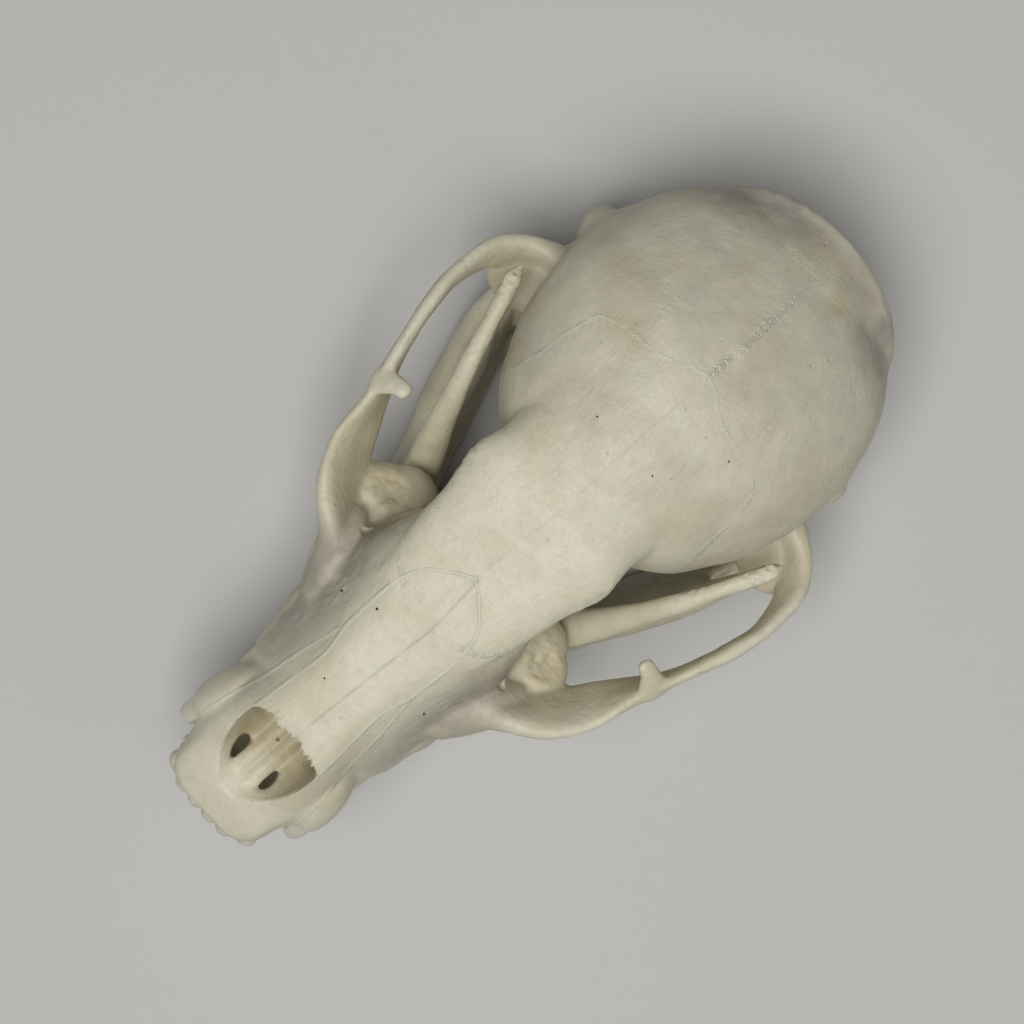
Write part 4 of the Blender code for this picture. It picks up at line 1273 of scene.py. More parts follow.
@dataclass
class Cranium:
    """The upper skull, modelled whole and parted where its bones meet."""

    face: SnoutAndFace = field(default_factory=SnoutAndFace)
    case: Braincase = field(default_factory=Braincase)
    back: Occiput = field(default_factory=Occiput)
    arches: CheekArch = field(default_factory=CheekArch)
    hollows: Hollows = field(default_factory=Hollows)
    septum: Septum = field(default_factory=Septum)

    def whole(self) -> Thing:
        """The upper skull in one skin.

        Returns:
            The skull, in millimetres in the frame of the tooth row.
        """
        forms = self.face.forms() + self.case.forms() + self.back.forms() + self.arches.forms()
        skull = fused("cranium", forms, SOFT_EDGE)
        tool = self.hollows.tool()
        combined(skull, tool, Operation.CUT)
        remove([tool])
        skull = fused("cranium", [skull] + self.septum.forms(), CRISP_EDGE)
        roughened(skull, CRANIUM_PATCHES)
        frayed(skull)
        for hole in self.hollows.small_tools():
            combined(skull, hole, Operation.CUT)
            remove([hole])
        return skull

    def regions(self) -> list[tuple[str, Thing]]:
        """The regions that are parted off, in order, each with its bone's name.

        Returns:
            Pairs of a name and a closed form.
        """
        rings = []
        for y, half, floor in NASAL_EDGE:
            corners = ((half, floor), (half, 45.0), (-half, 45.0), (-half, floor))
            rings.append(np.array([(x, y, z) for x, z in corners]))
        made = [("nasal_bones", skin_over("nasal_region", rings))]
        outline = mirrored_outline(FRONTAL_EDGE)
        made.append(("frontal_bones", Block(outline, outline, bottom=15.0).build("region")))
        bottom, top = -15.0, 60.0
        low, high = (
            mirrored_outline(OCCIPITAL_EDGE, back=PLATE_SLOPE * (z - PLATE_Z))
            for z in (bottom, top)
        )
        made.append(("occipital_bone", Block(low, high, bottom, top).build("region")))
        for side in Side:
            word = side.name.lower()
            bulla = Ball((11.8, 89.4, 3.4), (7.4, 9.4, 6.4), (0, 0, -18), detail=4)
            made.append((f"ear_chamber_{word}", bulla.build("region", side)))
            front, inner = ((17.4, 51.4), (27, 38.2), (40, 38.2)), ((21, 56),)
            low = front + ((40, 66.5), (24, 66.5)) + inner
            high = front + ((40, 60), (24, 60)) + inner
            cheek = Block(low, high, bottom=3.0, top=36.0)
            made.append((f"cheekbone_{word}", cheek.build("region", side)))
        rear = ((-40, 61.5), (40, 61.5), (40, 125), (-40, 125))
        made.append(("braincase", Block(rear, rear).build("region")))
        return made

    def bones(self) -> dict[str, Thing]:
        """The bones of the upper skull, each by the name of its solid.

        Returns:
            The bones, in millimetres in the frame of the tooth row.
        """
        rest = self.whole()
        made = {}
        for name, region in self.regions():
            bone = rest.copy()
            bone.data = rest.data.copy()
            bpy.context.scene.collection.objects.link(bone)
            combined(bone, region, Operation.KEEP)
            combined(rest, region, Operation.CUT)
            remove([region])
            made[name] = bone
        made["upper_jaw"] = rest
        return made


# Lower jaw


@dataclass
class LowerJaw:
    """One half of the lower jaw, for the left side."""

    body: Bar = Bar(
        (
            (3.4, 3.4, -6.4, 2.8, 3.2, 0), (4.1, 6, -7.4, 4.4, 4.3, 0),
            (4.5, 10, -8.8, 5.2, 4.6, 0), (5.3, 14.5, -9.6, 5.6, 4.2, 0),
            (6.7, 19, -10, 5.8, 3.4, 0), (8.3, 25, -10.2, 6.1, 2.9, 0),
            (9.7, 33, -10.3, 6.3, 2.9, 0), (11.4, 41, -10, 6.4, 2.9, 0),
            (12.9, 48, -8.8, 6.2, 2.5, 0), (14.9, 54.5, -7, 5.4, 2, 0),
            (17.4, 62, -5.4, 4.8, 2, 0), (20.2, 70, -3.6, 4.6, 2.2, 0),
            (21.8, 78, -1.6, 3.8, 1.8, 0),
        ),
        squareness=0.85, count=44, steps=96, blunt=1.6,
    )
    front_edge: Bar = Bar(
        (
            (13, 51, -3, 2.4, 2.8, 0), (15.6, 55.2, 5, 2.2, 2.5, 0), (18.4, 60.2, 12, 1.7, 1.9, 0),
            (20.9, 65.4, 17.4, 1.3, 1.4, 0), (23.4, 71.2, 21, 1.1, 1.15, 0),
            (26.3, 78.3, 23.3, 1.15, 1.15, 0),
        ),
        steps=70, blunt=1.0,
    )
    muscle_rim: Bar = Bar(
        (
            (14.6, 49, -10.6, 2.4, 2, 0), (16.4, 53.2, -9.8, 2.4, 1.9, 0),
            (18.4, 57.7, -8.6, 2.4, 1.9, 0), (20.6, 62, -7.2, 2.4, 1.9, 0),
            (22.8, 67, -5.4, 2.3, 1.9, 0), (24.8, 72, -2.6, 2.2, 1.8, 0),
            (25.6, 76, 0.6, 2, 1.8, 0), (25.8, 79.8, 4.4, 1.8, 1.7, 0),
        ),
        steps=70,
    )
    roller: Ball = Ball((22.2, 82, 7), (6, 2.3, 2.3), (0, -4, 4))
    roller_neck: Ball = Ball((22.2, 79.8, 5), (4, 3.2, 3.2))
    angle_hook: Bar = Bar(
        (
            (21, 72, -4.4, 3, 1.5, 0), (20.6, 79, -4.4, 2.2, 1.4, 0),
            (19.6, 85, -3.4, 1.4, 1.1, 0),
        )
    )
    # The upright blade: where it stands, how far it splays to the back and leans out, and its
    # front edge, back edge and half thickness by height.
    blade_x: float = 12.9
    blade_front_y: float = 52.0
    blade_splay: float = 0.36
    blade_lean: float = 0.16
    blade_heights: Row = (-10, -6, -2, 2, 6, 9, 11, 14, 17, 20, 22.2, 23.6)
    blade_edges: tuple[Row, ...] = (
        (47, 62, 1.3), (48, 72, 1.4), (51, 78.5, 1.4), (53.8, 79.6, 1.3), (56.4, 80, 1.2),
        (58.4, 75.6, 1.1), (59.8, 73, 1.1), (62.2, 72.4, 1), (65.2, 73.2, 1), (68.8, 76.2, 1),
        (72.8, 79, 0.9), (76.8, 79, 0.6),
    )
    # Holes for nerves: place and radii.
    nerve_holes: tuple[Row, ...] = (
        (7.3, 16.4, -8.4, 1.3, 0.8, 0.7), (9.6, 22.8, -8.8, 1.3, 0.7, 0.6),
        (14.6, 60, -2.6, 1.6, 1.5, 1),
    )
    patches: tuple[Patch, ...] = (
        Patch((25.4, 76.5, 23.2), (3, 6.5, 2.8), 0.2, 0.9),
        Patch((22, 68, 19.6), (3.4, 7, 3.4), 0.1, 1.2),
        Patch((20, 66, 2), (5, 11, 9), 0.12, 2.2),
        Patch((22, 68, -6), (5, 11, 4), 0.16, 1.6),
        Patch((1.5, 12, -9), (3, 8, 6), 0.2, 1.3),
    )

    def blade(self, side: Side) -> Thing:
        """The upright blade at the back.

        Args:
            side: The side that it is on.

        Returns:
            The new object.
        """
        curve = SmoothCurve(self.blade_heights, self.blade_edges)
        count, steps = 56, 60
        ring = squared_circle(count, 0.8)
        rings = []
        for z in np.linspace(self.blade_heights[0], self.blade_heights[-1], steps):
            front, back, thick = curve.at(z)
            y = (front + back) / 2 + ring[:, 0] * (back - front) / 2
            splayed = self.blade_splay * (y - self.blade_front_y)
            x = self.blade_x + splayed + self.blade_lean * z + ring[:, 1] * thick
            rings.append(np.stack([side.value * x, y, np.full(count, z)], axis=1))
        return skin_over("blade", rings)

    def build(self, side: Side) -> Thing:
        """Makes one half.

        Args:
            side: The side that it is on.

        Returns:
            The bone, in millimetres in the frame of the tooth row.
        """
        forms = [self.blade(side)]
        for name in ("body", "front_edge", "muscle_rim", "roller", "roller_neck", "angle_hook"):
            forms.append(getattr(self, name).build(name, side))
        half = fused("jaw", forms, SOFT_EDGE)
        roughened(half, self.patches)
        tools = [
            Ball(row[:3], row[3:], detail=3).build("hole", side) for row in self.nerve_holes
        ]
        # The two halves are parted in the middle.
        inner = ((0.15, -5), (-20, -5), (-20, 60), (0.15, 60))
        tools.append(Block(inner, inner, bottom=-30.0, top=20.0).build("inner_side", side))
        for tool in tools:
            combined(half, tool, Operation.CUT)
        remove(tools)
        return half


# Teeth

# How many points a ring of a crown, an incisor and a canine has, and how many rings an
# incisor and a canine have.
CROWN_POINTS = 36
EDGE_POINTS = 24
CANINE_POINTS = 28
EDGE_RINGS = 18
CANINE_RINGS = 32


class Tooth:
    """A tooth of the left side that stands at x and y, turned by degrees."""

    x: float
    y: float
    turn: float

    def levels(self) -> list[tuple[np.ndarray, ...]]:
        """Its rings: places across and along it, and how far they are from its tip."""
        raise NotImplementedError

    def build(self, side: Side, tip: float, down: int) -> Thing:
        """Makes the tooth.

        Args:
            side: The side that it is on.
            tip: The height of its cusps or its edge.
            down: 1 if its root points down, as in the lower jaw, or -1.

        Returns:
            The new object.
        """
        c, s = math.cos(math.radians(self.turn)), math.sin(math.radians(self.turn))
        rings = []
        for u, v, rise in self.levels():
            x, y = self.x + c * u - s * v, self.y + s * u + c * v
            rings.append(np.stack([side.value * x, y, tip - down * rise], axis=1))
        return skin_over("tooth", rings)


@dataclass(frozen=True)
class CheekTooth(Tooth):
    """A premolar or molar, with its root sunk in the bone and its cusps given by their place
    across and along the crown and their height."""

    x: float
    y: float
    long: float
    wide: float
    tall: float
    turn: float
    cusps: tuple[Row, ...]

    def levels(self) -> list[tuple[np.ndarray, ...]]:
        """The root and the sides of the crown, then its top over the cusps.

        Returns:
            Places across, places along and distances from the tip, ring by ring.
        """
        sides = (
            (self.tall + 4.5, 0.66, 0.8), (self.tall + 1.6, 0.84, 0.76),
            (self.tall + 0.2, 0.9, 0.74), (0.8 * self.tall, 0.97, 0.72),
            (0.55 * self.tall, 1, 0.72), (0.38 * self.tall, 0.98, 0.74),
        )
        made = []
        for rise, scale, squareness in sides:
            ring = squared_circle(CROWN_POINTS, squareness) * scale
            made.append((ring, np.full(CROWN_POINTS, rise)))
        for scale in (0.93, 0.86, 0.78, 0.68, 0.58, 0.48, 0.38, 0.28, 0.18, 0.08):
            ring = squared_circle(CROWN_POINTS, 0.86) * scale
            peak = np.zeros(CROWN_POINTS)
            for across, along, high in self.cusps:
                away = (ring[:, 0] - across) ** 2 + (ring[:, 1] - along) ** 2
                peak = np.maximum(peak, high * np.exp(-away / 0.13))
            made.append((ring, self.tall * (0.3 * (1 - peak))))
        wide, long = self.wide, self.long
        return [(ring[:, 0] * wide / 2, ring[:, 1] * long / 2, rise) for ring, rise in made]


@dataclass(frozen=True)
class FrontTooth(Tooth):
    """An incisor, with an edge of three lobes."""

    x: float
    y: float
    wide: float
    deep: float
    tall: float
    turn: float
    slope: float

    def levels(self) -> list[tuple[np.ndarray, ...]]:
        """The rings from the root to the edge.

        Returns:
            Places across, places along and distances from the tip, ring by ring.
        """
        layers = (
            (self.tall + 1.6, 0.5, 0.6, 0.9), (self.tall + 0.6, 0.74, 0.93, 0.4),
            (0.8 * self.tall, 0.9, 1, 0.2), (0.55 * self.tall, 1, 0.98, 0.06),
            (0.3 * self.tall, 1.04, 0.74, -0.08), (0.1 * self.tall, 1, 0.46, -0.2),
            (0, 0.84, 0.24, -0.28),
        )
        curve = SmoothCurve([-row[0] for row in layers], layers)
        ring = squared_circle(EDGE_POINTS, 0.84)
        made = []
        for height in np.linspace(-layers[0][0], 0.0, EDGE_RINGS):
            rise, across, along, back = curve.at(height)
            lobes = 0.12 * np.cos(3 * math.pi * ring[:, 0]) * max(0, 1 - rise / 1.2)
            u = ring[:, 0] * self.wide / 2 * across
            v = ring[:, 1] * self.deep / 2 * along + back * self.slope
            made.append((u, v, rise + lobes))
        return made


@dataclass(frozen=True)
class Canine(Form):
    """A canine of the left side: rows of x, y, z, half length and half width to its tip."""

    path: tuple[Row, ...]

    def rings(self, side: Side) -> list[np.ndarray]:
        """The rings from root to tip.

        Args:
            side: The side that it is on.

        Returns:
            Arrays of points.
        """
        curve = SmoothCurve(range(len(self.path)), self.path)
        ring = squared_circle(CANINE_POINTS, 1.0)
        rings = []
        for t in np.linspace(0, len(self.path) - 1, CANINE_RINGS):
            x, y, z, long, wide = curve.at(t)
            keel = 1 + 0.05 * np.cos(2 * np.arctan2(ring[:, 1], ring[:, 0]))
            px, py = side.value * (x + ring[:, 0] * wide * keel), y + ring[:, 1] * long * keel
            rings.append(np.stack([px, py, np.full(CANINE_POINTS, z)], axis=1))
        return rings


ONE_POINT = ((0.2, -0.05, 1.0), (0.1, 0.6, 0.45))
LOWER_POINT = ((0.0, -0.05, 1.0), (0.0, 0.55, 0.5))
FOUR_POINTS = ((0.58, -0.52, 1.0), (0.58, 0.5, 0.95), (-0.58, -0.5, 0.85), (-0.55, 0.52, 0.7))


@dataclass
class Teeth:
    """The teeth of one jaw."""

    cheek: tuple[CheekTooth, ...]
    front: tuple[FrontTooth, ...]
    canine: Canine
    tip: float
    front_tip: float
    down: int

    def build(self, name: str, sides: Sequence[Side]) -> Thing:
        """Makes the teeth as one piece.

        Args:
            name: The piece's name.
            sides: The sides that it has.

        Returns:
            The piece, in millimetres in the frame of the tooth row.
        """
        made = []
        for side in sides:
            made += [tooth.build(side, self.tip, self.down) for tooth in self.cheek]
            made += [tooth.build(side, self.front_tip, self.down) for tooth in self.front]
            made.append(self.canine.build("canine", side))
        select_only(made)
        bpy.ops.object.join()
        whole = bpy.context.view_layer.objects.active
        whole.name = name
        points = vertex_values(whole, "co")
        gum = (points[:, 2] - self.tip) * -self.down
        columns = np.stack([gum, np.zeros(len(gum)), np.zeros(len(gum))], axis=1)
        store(whole, "height", columns)
        return whole


UPPER_TEETH = Teeth(
    cheek=(
        CheekTooth(9.7, 14.4, 3.2, 2.4, 3, 6, ONE_POINT),
        CheekTooth(9.9, 18.4, 4.4, 2.9, 3.6, 3, ONE_POINT),
        CheekTooth(10, 23.4, 5.3, 4, 4, -2, ONE_POINT),
        CheekTooth(10.1, 29.9, 7.6, 7, 4.2, -6, FOUR_POINTS),
        CheekTooth(11, 37.9, 8.2, 8.2, 4, 0, FOUR_POINTS),
        CheekTooth(11.3, 45.1, 6, 7.4, 3.4, 8, FOUR_POINTS),
    ),
    front=(
        FrontTooth(1.4, 1.2, 2.7, 2.6, 3.4, 3, 1),
        FrontTooth(4.1, 1.5, 2.7, 2.8, 3.6, 10, 1),
        FrontTooth(6.8, 2.9, 3, 3.2, 4.2, 36, 1),
    ),
    canine=Canine(
        (
            (9.6, 11.2, 7.6, 1.6, 1.2), (9.9, 10.6, 6, 2.2, 1.6), (10.5, 9, 1.5, 2.2, 1.6),
            (10.9, 8.5, -3, 1.6, 1.2), (11.1, 9.1, -7.4, 0.4, 0.4),
        )
    ),
    tip=0.0, front_tip=-0.6, down=-1,
)
LOWER_TEETH = Teeth(
    cheek=(
        CheekTooth(6.7, 12, 2.6, 2, 2.4, 14, LOWER_POINT),
        CheekTooth(7.5, 15.5, 4.2, 2.5, 3.2, 14, LOWER_POINT),
        CheekTooth(8.4, 20.2, 5, 2.9, 3.6, 10, LOWER_POINT),
        CheekTooth(9.2, 25.9, 6.2, 3.9, 3.8, 8, LOWER_POINT),
        CheekTooth(10.2, 34, 9.8, 4.9, 3.9, 8, FOUR_POINTS),
        CheekTooth(11.9, 42.9, 7.9, 4.6, 3.3, 12, FOUR_POINTS),
    ),
    front=(
        FrontTooth(1.15, 3.6, 1.9, 2.2, 3.2, 4, 0.8),
        FrontTooth(3, 3.8, 1.9, 2.4, 3.3, 8, 0.8),
        FrontTooth(4.9, 4.4, 2.1, 2.6, 3.4, 20, 0.8),
    ),
    canine=Canine(
        (
            (5.6, 11, -10.5, 1.5, 1.4), (6.3, 8.4, -6.5, 2, 1.7), (7, 6.4, -3.4, 1.7, 1.4),
            (7.8, 5.3, -0.6, 1.1, 1), (8.3, 5.2, 1.8, 0.35, 0.35),
        )
    ),
    tip=-0.4, front_tip=-0.6, down=1,
)


# Finishes


def colour(hexadecimal: str) -> tuple[float, float, float, float]:
    """An sRGB hex value as the linear colour that a shader takes.

    Args:
        hexadecimal: Six digits after a hash.

    Returns:
        Red, green, blue and alpha.
    """
    channels = []
    for start in (1, 3, 5):
        value = int(hexadecimal[start : start + 2], 16) / 255
        low = value <= 0.04045
        channels.append(value / 12.92 if low else ((value + 0.055) / 1.055) ** 2.4)
    return (*channels, 1.0)


class Recipe:
    """A material's nodes, added one at a time."""

    def __init__(self, name: str) -> None:
        """Starts a material with its shader.

        Args:
            name: The material's name.
        """
        self.material = bpy.data.materials.new(name)
        self.material.use_nodes = True
        self.tree = self.material.node_tree
        self.shader = self.tree.nodes["Principled BSDF"]

    def add(
        self,
        kind: str,
        inputs: dict[str | int, object],
        out: str | int = 0,
        **settings: object,
    ) -> bpy.types.NodeSocket:
        """Adds a node with its settings and links.

        Args:
            kind: Blender's name for the node's kind, without its first word.
            inputs: Values for its sockets, or the sockets that feed them.
            out: Which of its outputs is wanted.
            **settings: The node's settings.

        Returns:
            The output socket.
        """
        node = self.tree.nodes.new("ShaderNode" + kind)
        for name, value in settings.items():
            setattr(node, name, value)
        self.feed(node, inputs)
        return node.outputs[out]

    def feed(self, node: bpy.types.Node, inputs: dict[str | int, object]) -> None:
        """Sets or links a node's sockets.

        Args:
            node: The node.
            inputs: Values for its sockets, or the sockets that feed them.
        """
        for name, value in inputs.items():
            if isinstance(value, bpy.types.NodeSocket):
                self.tree.links.new(value, node.inputs[name])
            else:
                node.inputs[name].default_value = value


# The setting of a Map Range node for a smooth ramp.
SMOOTH = {"interpolation_type": "SMOOTHSTEP"}


def ramp(value: object, start: float, end: float, low: float = 0, high: float = 1) -> dict:
    """The inputs of a ramp from low to high as a value goes from start to end.

    Args:
        value: The socket that is read.
        start: Where the ramp starts.
        end: Where it ends.
        low: The result before it.
        high: The result after it.

    Returns:
        The inputs by name.
    """
    return {"Value": value, "From Min": start, "From Max": end, "To Min": low, "To Max": high}


def grain_of(place: object, size_mm: float, detail: float = 2.0, rough: float = 0.5) -> dict:
    """The inputs of a noise whose features have a real size.

    Args:
        place: Coordinates in metres.
        size_mm: The size of its features in millimetres.
        detail: How many finer layers it has.
        rough: How strong they are.

    Returns:
        The inputs by name.
    """
    return {"Vector": place, "Scale": 1 / (size_mm * MM), "Detail": detail, "Roughness": rough}


@dataclass(frozen=True)
class CleanedBone:
    """Bone that was cleaned, whitened and left to dry. It is ivory with a satin surface, greyer on
    its steep sides and at the back, partly its own tone and partly painted shade, tan in its
    hollows, partly its own colour and partly painted shade, and finely pored, the open holes
    painted dark as their shade."""

    ivory: str = "#C9C2A6"
    pale: str = "#D6D1B9"
    white: str = "#E9E5D4"
    grey: str = "#948C83"
    tan: str = "#A3916A"
    stain: str = "#AE9A5E"
    # Painted shade inside the few open holes.
    hole_shade: str = "#33261A"
    seam_dark: str = "#857A62"
    roughness: float = 0.46

    def material(self) -> bpy.types.Material:
        """Writes the material.

        Returns:
            The material.
        """
        r = Recipe("cleaned_dry_bone")
        add = r.add
        place = add("TexCoord", {}, "Object")
        # The tone attribute holds tan with painted hollow shade, grey with painted side shade, and
        # stains.
        tone = add("Attribute", {}, "Vector", attribute_name="tone")
        tan_and_shade, grey_and_shade, stain = (add("SeparateXYZ", {0: tone}, axis) for axis in range(3))

        # Clouding of the surface over some millimetres.
        clouds = add("TexNoise", grain_of(place, 12.0, 3.0, 0.55))
        patches = add("TexNoise", grain_of(place, 4.5, 3.0, 0.55))
        fine = add("TexNoise", grain_of(place, 1.4, 2.0, 0.6))
        line, ridge = self.sutures(r, place)
        pits, holes = self.pores(r, place)

        # Each tone lies over the one before, where its share says.
        layers = (
            (clouds, (0.42, 0.66, 0.0, 0.8), self.ivory),
            (fine, (0.45, 0.75, 0.0, 0.12), self.grey),
        )
        base = colour(self.pale)
        for share, bounds, tint in layers:
            part = add("MapRange", ramp(share, *bounds), **SMOOTH)
            base = add("Mix", {0: part, 6: base, 7: colour(tint)}, 2, data_type="RGBA")
        # Grey with painted side shade, tan with painted hollow shade, and stains, each laid over
        # the base.
        for share, amount, tint in (
            (grey_and_shade, 0.85, self.grey), (tan_and_shade, 0.85, self.tan), (stain, 0.7, self.stain),
        ):
            part = add("MapRange", ramp(patches, 0.3, 0.65, 0.55 * amount, amount), **SMOOTH)
            part = add("Math", {0: share, 1: part}, operation="MULTIPLY")
            base = add("Mix", {0: part, 6: base, 7: colour(tint)}, 2, data_type="RGBA")
        # Suture ridges and lines, pits, and the open holes painted dark as their shade.
        for share, amount, tint in (
            (ridge, 0.5, self.white), (line, 0.4, self.seam_dark), (pits, 0.15, self.tan),
            (holes, 0.9, self.hole_shade),
        ):
            part = add("Math", {0: share, 1: amount}, operation="MULTIPLY")
            base = add("Mix", {0: part, 6: base, 7: colour(tint)}, 2, data_type="RGBA")

        # Grain of the bone, a little coarser than it is so that it shows.
        grain = add("TexNoise", grain_of(place, 0.4, 3.0, 0.6))
        drawn = {"Vector": place, "Scale": (1.0, 0.22, 1.0), "Rotation": (0.2, 0.0, 0.2)}
        along = add("Mapping", drawn)
        fibres = add("TexNoise", grain_of(along, 0.55, 2.0, 0.5))
        height = 0.0
        for layer, weight in (
            (grain, 0.05), (fibres, 0.06), (fine, 0.09), (patches, 0.2), (ridge, 0.12),
            (line, -0.08), (pits, -0.07), (holes, -0.25),
        ):
            height = add("Math", {0: layer, 1: weight, 2: height}, operation="MULTIPLY_ADD")
        bump = add("Bump", {"Height": height, "Strength": 1.0, "Distance": MM})
        shine = ramp(grain, 0.3, 0.7, self.roughness - 0.06, self.roughness + 0.1)
        r.feed(
            r.shader,
            {
                "Base Color": base,
                "Roughness": add("MapRange", shine, **SMOOTH),
                "Normal": bump,
                "IOR": 1.5,
                "Specular IOR Level": 0.45,
            },
        )
        return r.material

    def sutures(self, r: Recipe, place: bpy.types.NodeSocket) -> tuple[object, object]:
        """The dark lines of the sutures and the pale ridges beside them.

        Args:
            r: The recipe that the nodes go in.
            place: Coordinates in metres.

        Returns:
            Two sockets from 0 to 1.
        """
        add = r.add
        kept = add("Attribute", {}, "Vector", attribute_name="seam_strength")
        # The line wanders over some millimetres, and the bones lock about every 0.7 mm.
        wander = add("TexNoise", grain_of(place, 1.3, 2.0, 0.6))
        gaps = add("TexNoise", grain_of(place, 3.0, 1.0))
        broken = add("MapRange", ramp(gaps, 0.3, 0.6, 0.3, 1.0), **SMOOTH)
        line, ridge = 0.0, 0.0
        for layer, (_, dark, pale) in enumerate(SUTURE_LAYERS):
            seam = add("Attribute", {}, "Vector", attribute_name=f"seam_{layer}")
            across, along, teeth = (add("SeparateXYZ", {0: seam}, axis) for axis in range(3))
            run = add("Math", {0: wander, 1: 1.5, 2: along}, operation="MULTIPLY_ADD")
            saw = add("Math", {0: run, 1: 0.22}, operation="PINGPONG")
            saw = add("Math", {0: saw, 1: 9.0, 2: -1.0}, operation="MULTIPLY_ADD")
            swing = add("Math", {0: wander, 1: 4.0, 2: saw}, operation="MULTIPLY_ADD")
            swing = add("Math", {0: swing, 1: -2.0}, operation="ADD")
            moved = add("Math", {0: swing, 1: teeth, 2: across}, operation="MULTIPLY_ADD")
            away = add("Math", {0: moved}, operation="ABSOLUTE")
            share = add("SeparateXYZ", {0: kept}, layer)
            strength = add("Math", {0: share, 1: broken}, operation="MULTIPLY")
            thin = add("MapRange", ramp(away, 0.02, 0.12, dark, 0.0), **SMOOTH)
            thin = add("Math", {0: thin, 1: strength}, operation="MULTIPLY")
            broad = add("MapRange", ramp(away, 0.06, 0.3, pale, 0.0), **SMOOTH)
            broad = add("Math", {0: broad, 1: strength}, operation="MULTIPLY")
            line = add("Math", {0: line, 1: thin}, operation="MAXIMUM")
            ridge = add("Math", {0: ridge, 1: broad}, operation="MAXIMUM")
        return line, ridge

    def pores(self, r: Recipe, place: bpy.types.NodeSocket) -> tuple[object, object]:
        """The fine pits of the surface and the few open holes among them, painted dark as their
        shade.

        Args:
            r: The recipe that the nodes go in.
            place: Coordinates in metres.

        Returns:
            Two sockets from 0 to 1.
        """
        add = r.add
        found = []
        # Distance between pores in millimetres, their edge, and the share that is left out.
        for spacing, inner, outer, missing in ((1.1, 0.08, 0.2, 0.9), (8.0, 0.012, 0.022, 0.8)):
            cells = {"Vector": place, "Scale": 1 / (spacing * MM)}
            near = add("TexVoronoi", cells, "Distance")
            chance = add("SeparateXYZ", {0: add("TexVoronoi", cells, "Color")})
            spot = add("MapRange", ramp(near, inner, outer, 1.0, 0.0), **SMOOTH)
            kept = add("MapRange", ramp(chance, missing, missing + 0.04), **SMOOTH)
            found.append(add("Math", {0: spot, 1: kept}, operation="MULTIPLY"))
        return found[0], found[1]


@dataclass(frozen=True)
class Enamel:
    """Tooth enamel over yellower dentine: smooth, glossier than the bone, with fine cracks
    down the crown."""

    crown: str = "#D8D3C0"
    neck: str = "#BCAC84"
    roughness: float = 0.26

    def material(self) -> bpy.types.Material:
        """Writes the material.

        Returns:
            The material.
        """
        r = Recipe("tooth_enamel")
        add = r.add
        place = add("TexCoord", {}, "Object")
        kept = add("Attribute", {}, "Vector", attribute_name="height")
        height = add("SeparateXYZ", {0: kept})
        clouds = add("TexNoise", grain_of(place, 1.6, 2.0, 0.5))
        edge = add("Math", {0: clouds, 1: 1.4, 2: height}, operation="MULTIPLY_ADD")
        base = colour(self.crown)
        for part in (ramp(edge, 5.6, 8.4, 0.0, 0.7), ramp(clouds, 0.35, 0.75, 0.0, 0.2)):
            share = add("MapRange", part, **SMOOTH)
            base = add("Mix", {0: share, 6: base, 7: colour(self.neck)}, 2, data_type="RGBA")
        down = add("Mapping", {"Vector": place, "Scale": (1.0, 1.0, 0.12)})
        cracks = add("TexNoise", grain_of(down, 0.4, 2.0, 0.6))
        relief = add("Math", {0: cracks, 1: 0.03}, operation="MULTIPLY")
        r.feed(
            r.shader,
            {
                "Base Color": base,
                "Roughness": self.roughness,
                "Normal": add("Bump", {"Height": relief, "Distance": MM}),
                "IOR": 1.62,
                "Subsurface Weight": 0.12,
                "Subsurface Scale": 0.001,
            },
        )
        return r.material


@dataclass(frozen=True)
class PaleFloor:
    """Matt studio paper, with a fine tooth that takes all gloss off it."""

    tone: str = "#C9C8C5"

    def material(self) -> bpy.types.Material:
        """Writes the material.

        Returns:
            The material.
        """
        r = Recipe("matt_studio_paper")
        place = r.add("TexCoord", {}, "Object")
        fine = r.add("TexNoise", grain_of(place, 1.2))
        relief = r.add("Math", {0: fine, 1: 0.02}, operation="MULTIPLY")
        r.feed(
            r.shader,
            {
                "Base Color": colour(self.tone),
                "Roughness": 0.9,
                "Normal": r.add("Bump", {"Height": relief, "Distance": MM}),
            },
        )
        return r.material


# Studio


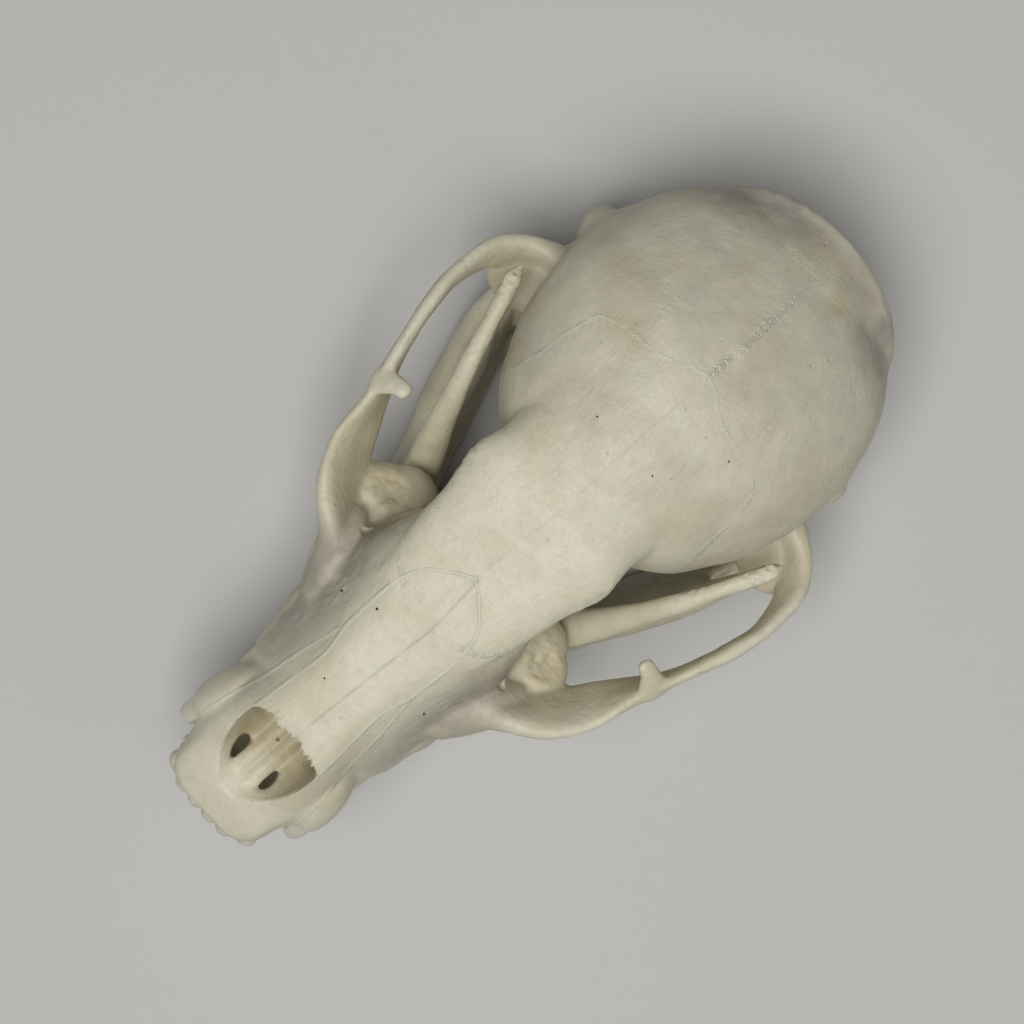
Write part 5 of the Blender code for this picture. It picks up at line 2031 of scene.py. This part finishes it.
@dataclass
class Studio:
    """The floor, the lights and the camera."""

    camera_place: Row = (-0.01615, 0.03119, 0.36845)
    camera_turn: Row = (-5.005, 2.265, 48.693)
    lens: float = 90.15
    # Each light: place in metres, size in metres, power in watts.
    lights: tuple[tuple[Row, float, float], ...] = (
        ((0.05, -0.1, 0.72), 0.4, 4.0),
        ((-0.55, -0.1, 0.45), 0.6, 0.2),
        ((0.5, 0.35, 0.45), 0.6, 0.45),
    )
    # What the lights point at.
    aim: Row = (0, 0, 0.02)
    world_tone: str = "#C9CBCE"
    world_strength: float = 0.1

    def build(self) -> None:
        """Makes all of it."""
        bpy.ops.object.select_all(action="DESELECT")
        bpy.ops.mesh.primitive_plane_add(size=6.0, location=(0, 0, 0))
        floor = bpy.context.object
        floor.name = "floor"
        floor.data.materials.append(PaleFloor().material())
        for number, (place, size, power) in enumerate(self.lights):
            bpy.ops.object.light_add(type="AREA", location=place)
            light = bpy.context.object
            light.name = f"soft_light_{number + 1}"
            light.data.energy = power
            light.data.size = size
            ray = Vector(self.aim) - Vector(place)
            light.rotation_euler = ray.to_track_quat("-Z", "Y").to_euler()
        world = bpy.data.worlds.new("studio")
        world.use_nodes = True
        background = world.node_tree.nodes["Background"]
        background.inputs[0].default_value = colour(self.world_tone)
        background.inputs[1].default_value = self.world_strength
        bpy.context.scene.world = world
        bpy.ops.object.camera_add(
            location=self.camera_place,
            rotation=[math.radians(angle) for angle in self.camera_turn],
        )
        camera = bpy.context.object
        camera.name = "camera"
        camera.data.lens = self.lens
        camera.data.sensor_width = 36.0
        camera.data.clip_start = 0.01
        bpy.context.scene.view_settings.view_transform = "Standard"
        bpy.context.scene.camera = camera


def main() -> None:
    """Builds the skull and its studio."""
    logging.basicConfig(level=logging.INFO, format="%(message)s")
    bone = CleanedBone().material()
    enamel = Enamel().material()
    pieces = Cranium().bones()
    for side in Side:
        pieces[f"jaw_{side.name.lower()}"] = LowerJaw().build(side)
    for node, piece in pieces.items():
        piece.name = "bone_" + node
        describe_bone(piece, not node.startswith("jaw"))
        set_down(piece)
        finish_piece(piece, node, bone)
    teeth = [(UPPER_TEETH.build("upper_teeth", list(Side)), "upper_jaw")]
    for side in Side:
        word = side.name.lower()
        teeth.append((LOWER_TEETH.build(f"lower_teeth_{word}", [side]), f"jaw_{word}"))
    for piece, node in teeth:
        set_down(piece)
        finish_piece(piece, node, enamel)
    Studio().build()


if __name__ == "__main__":
    main()
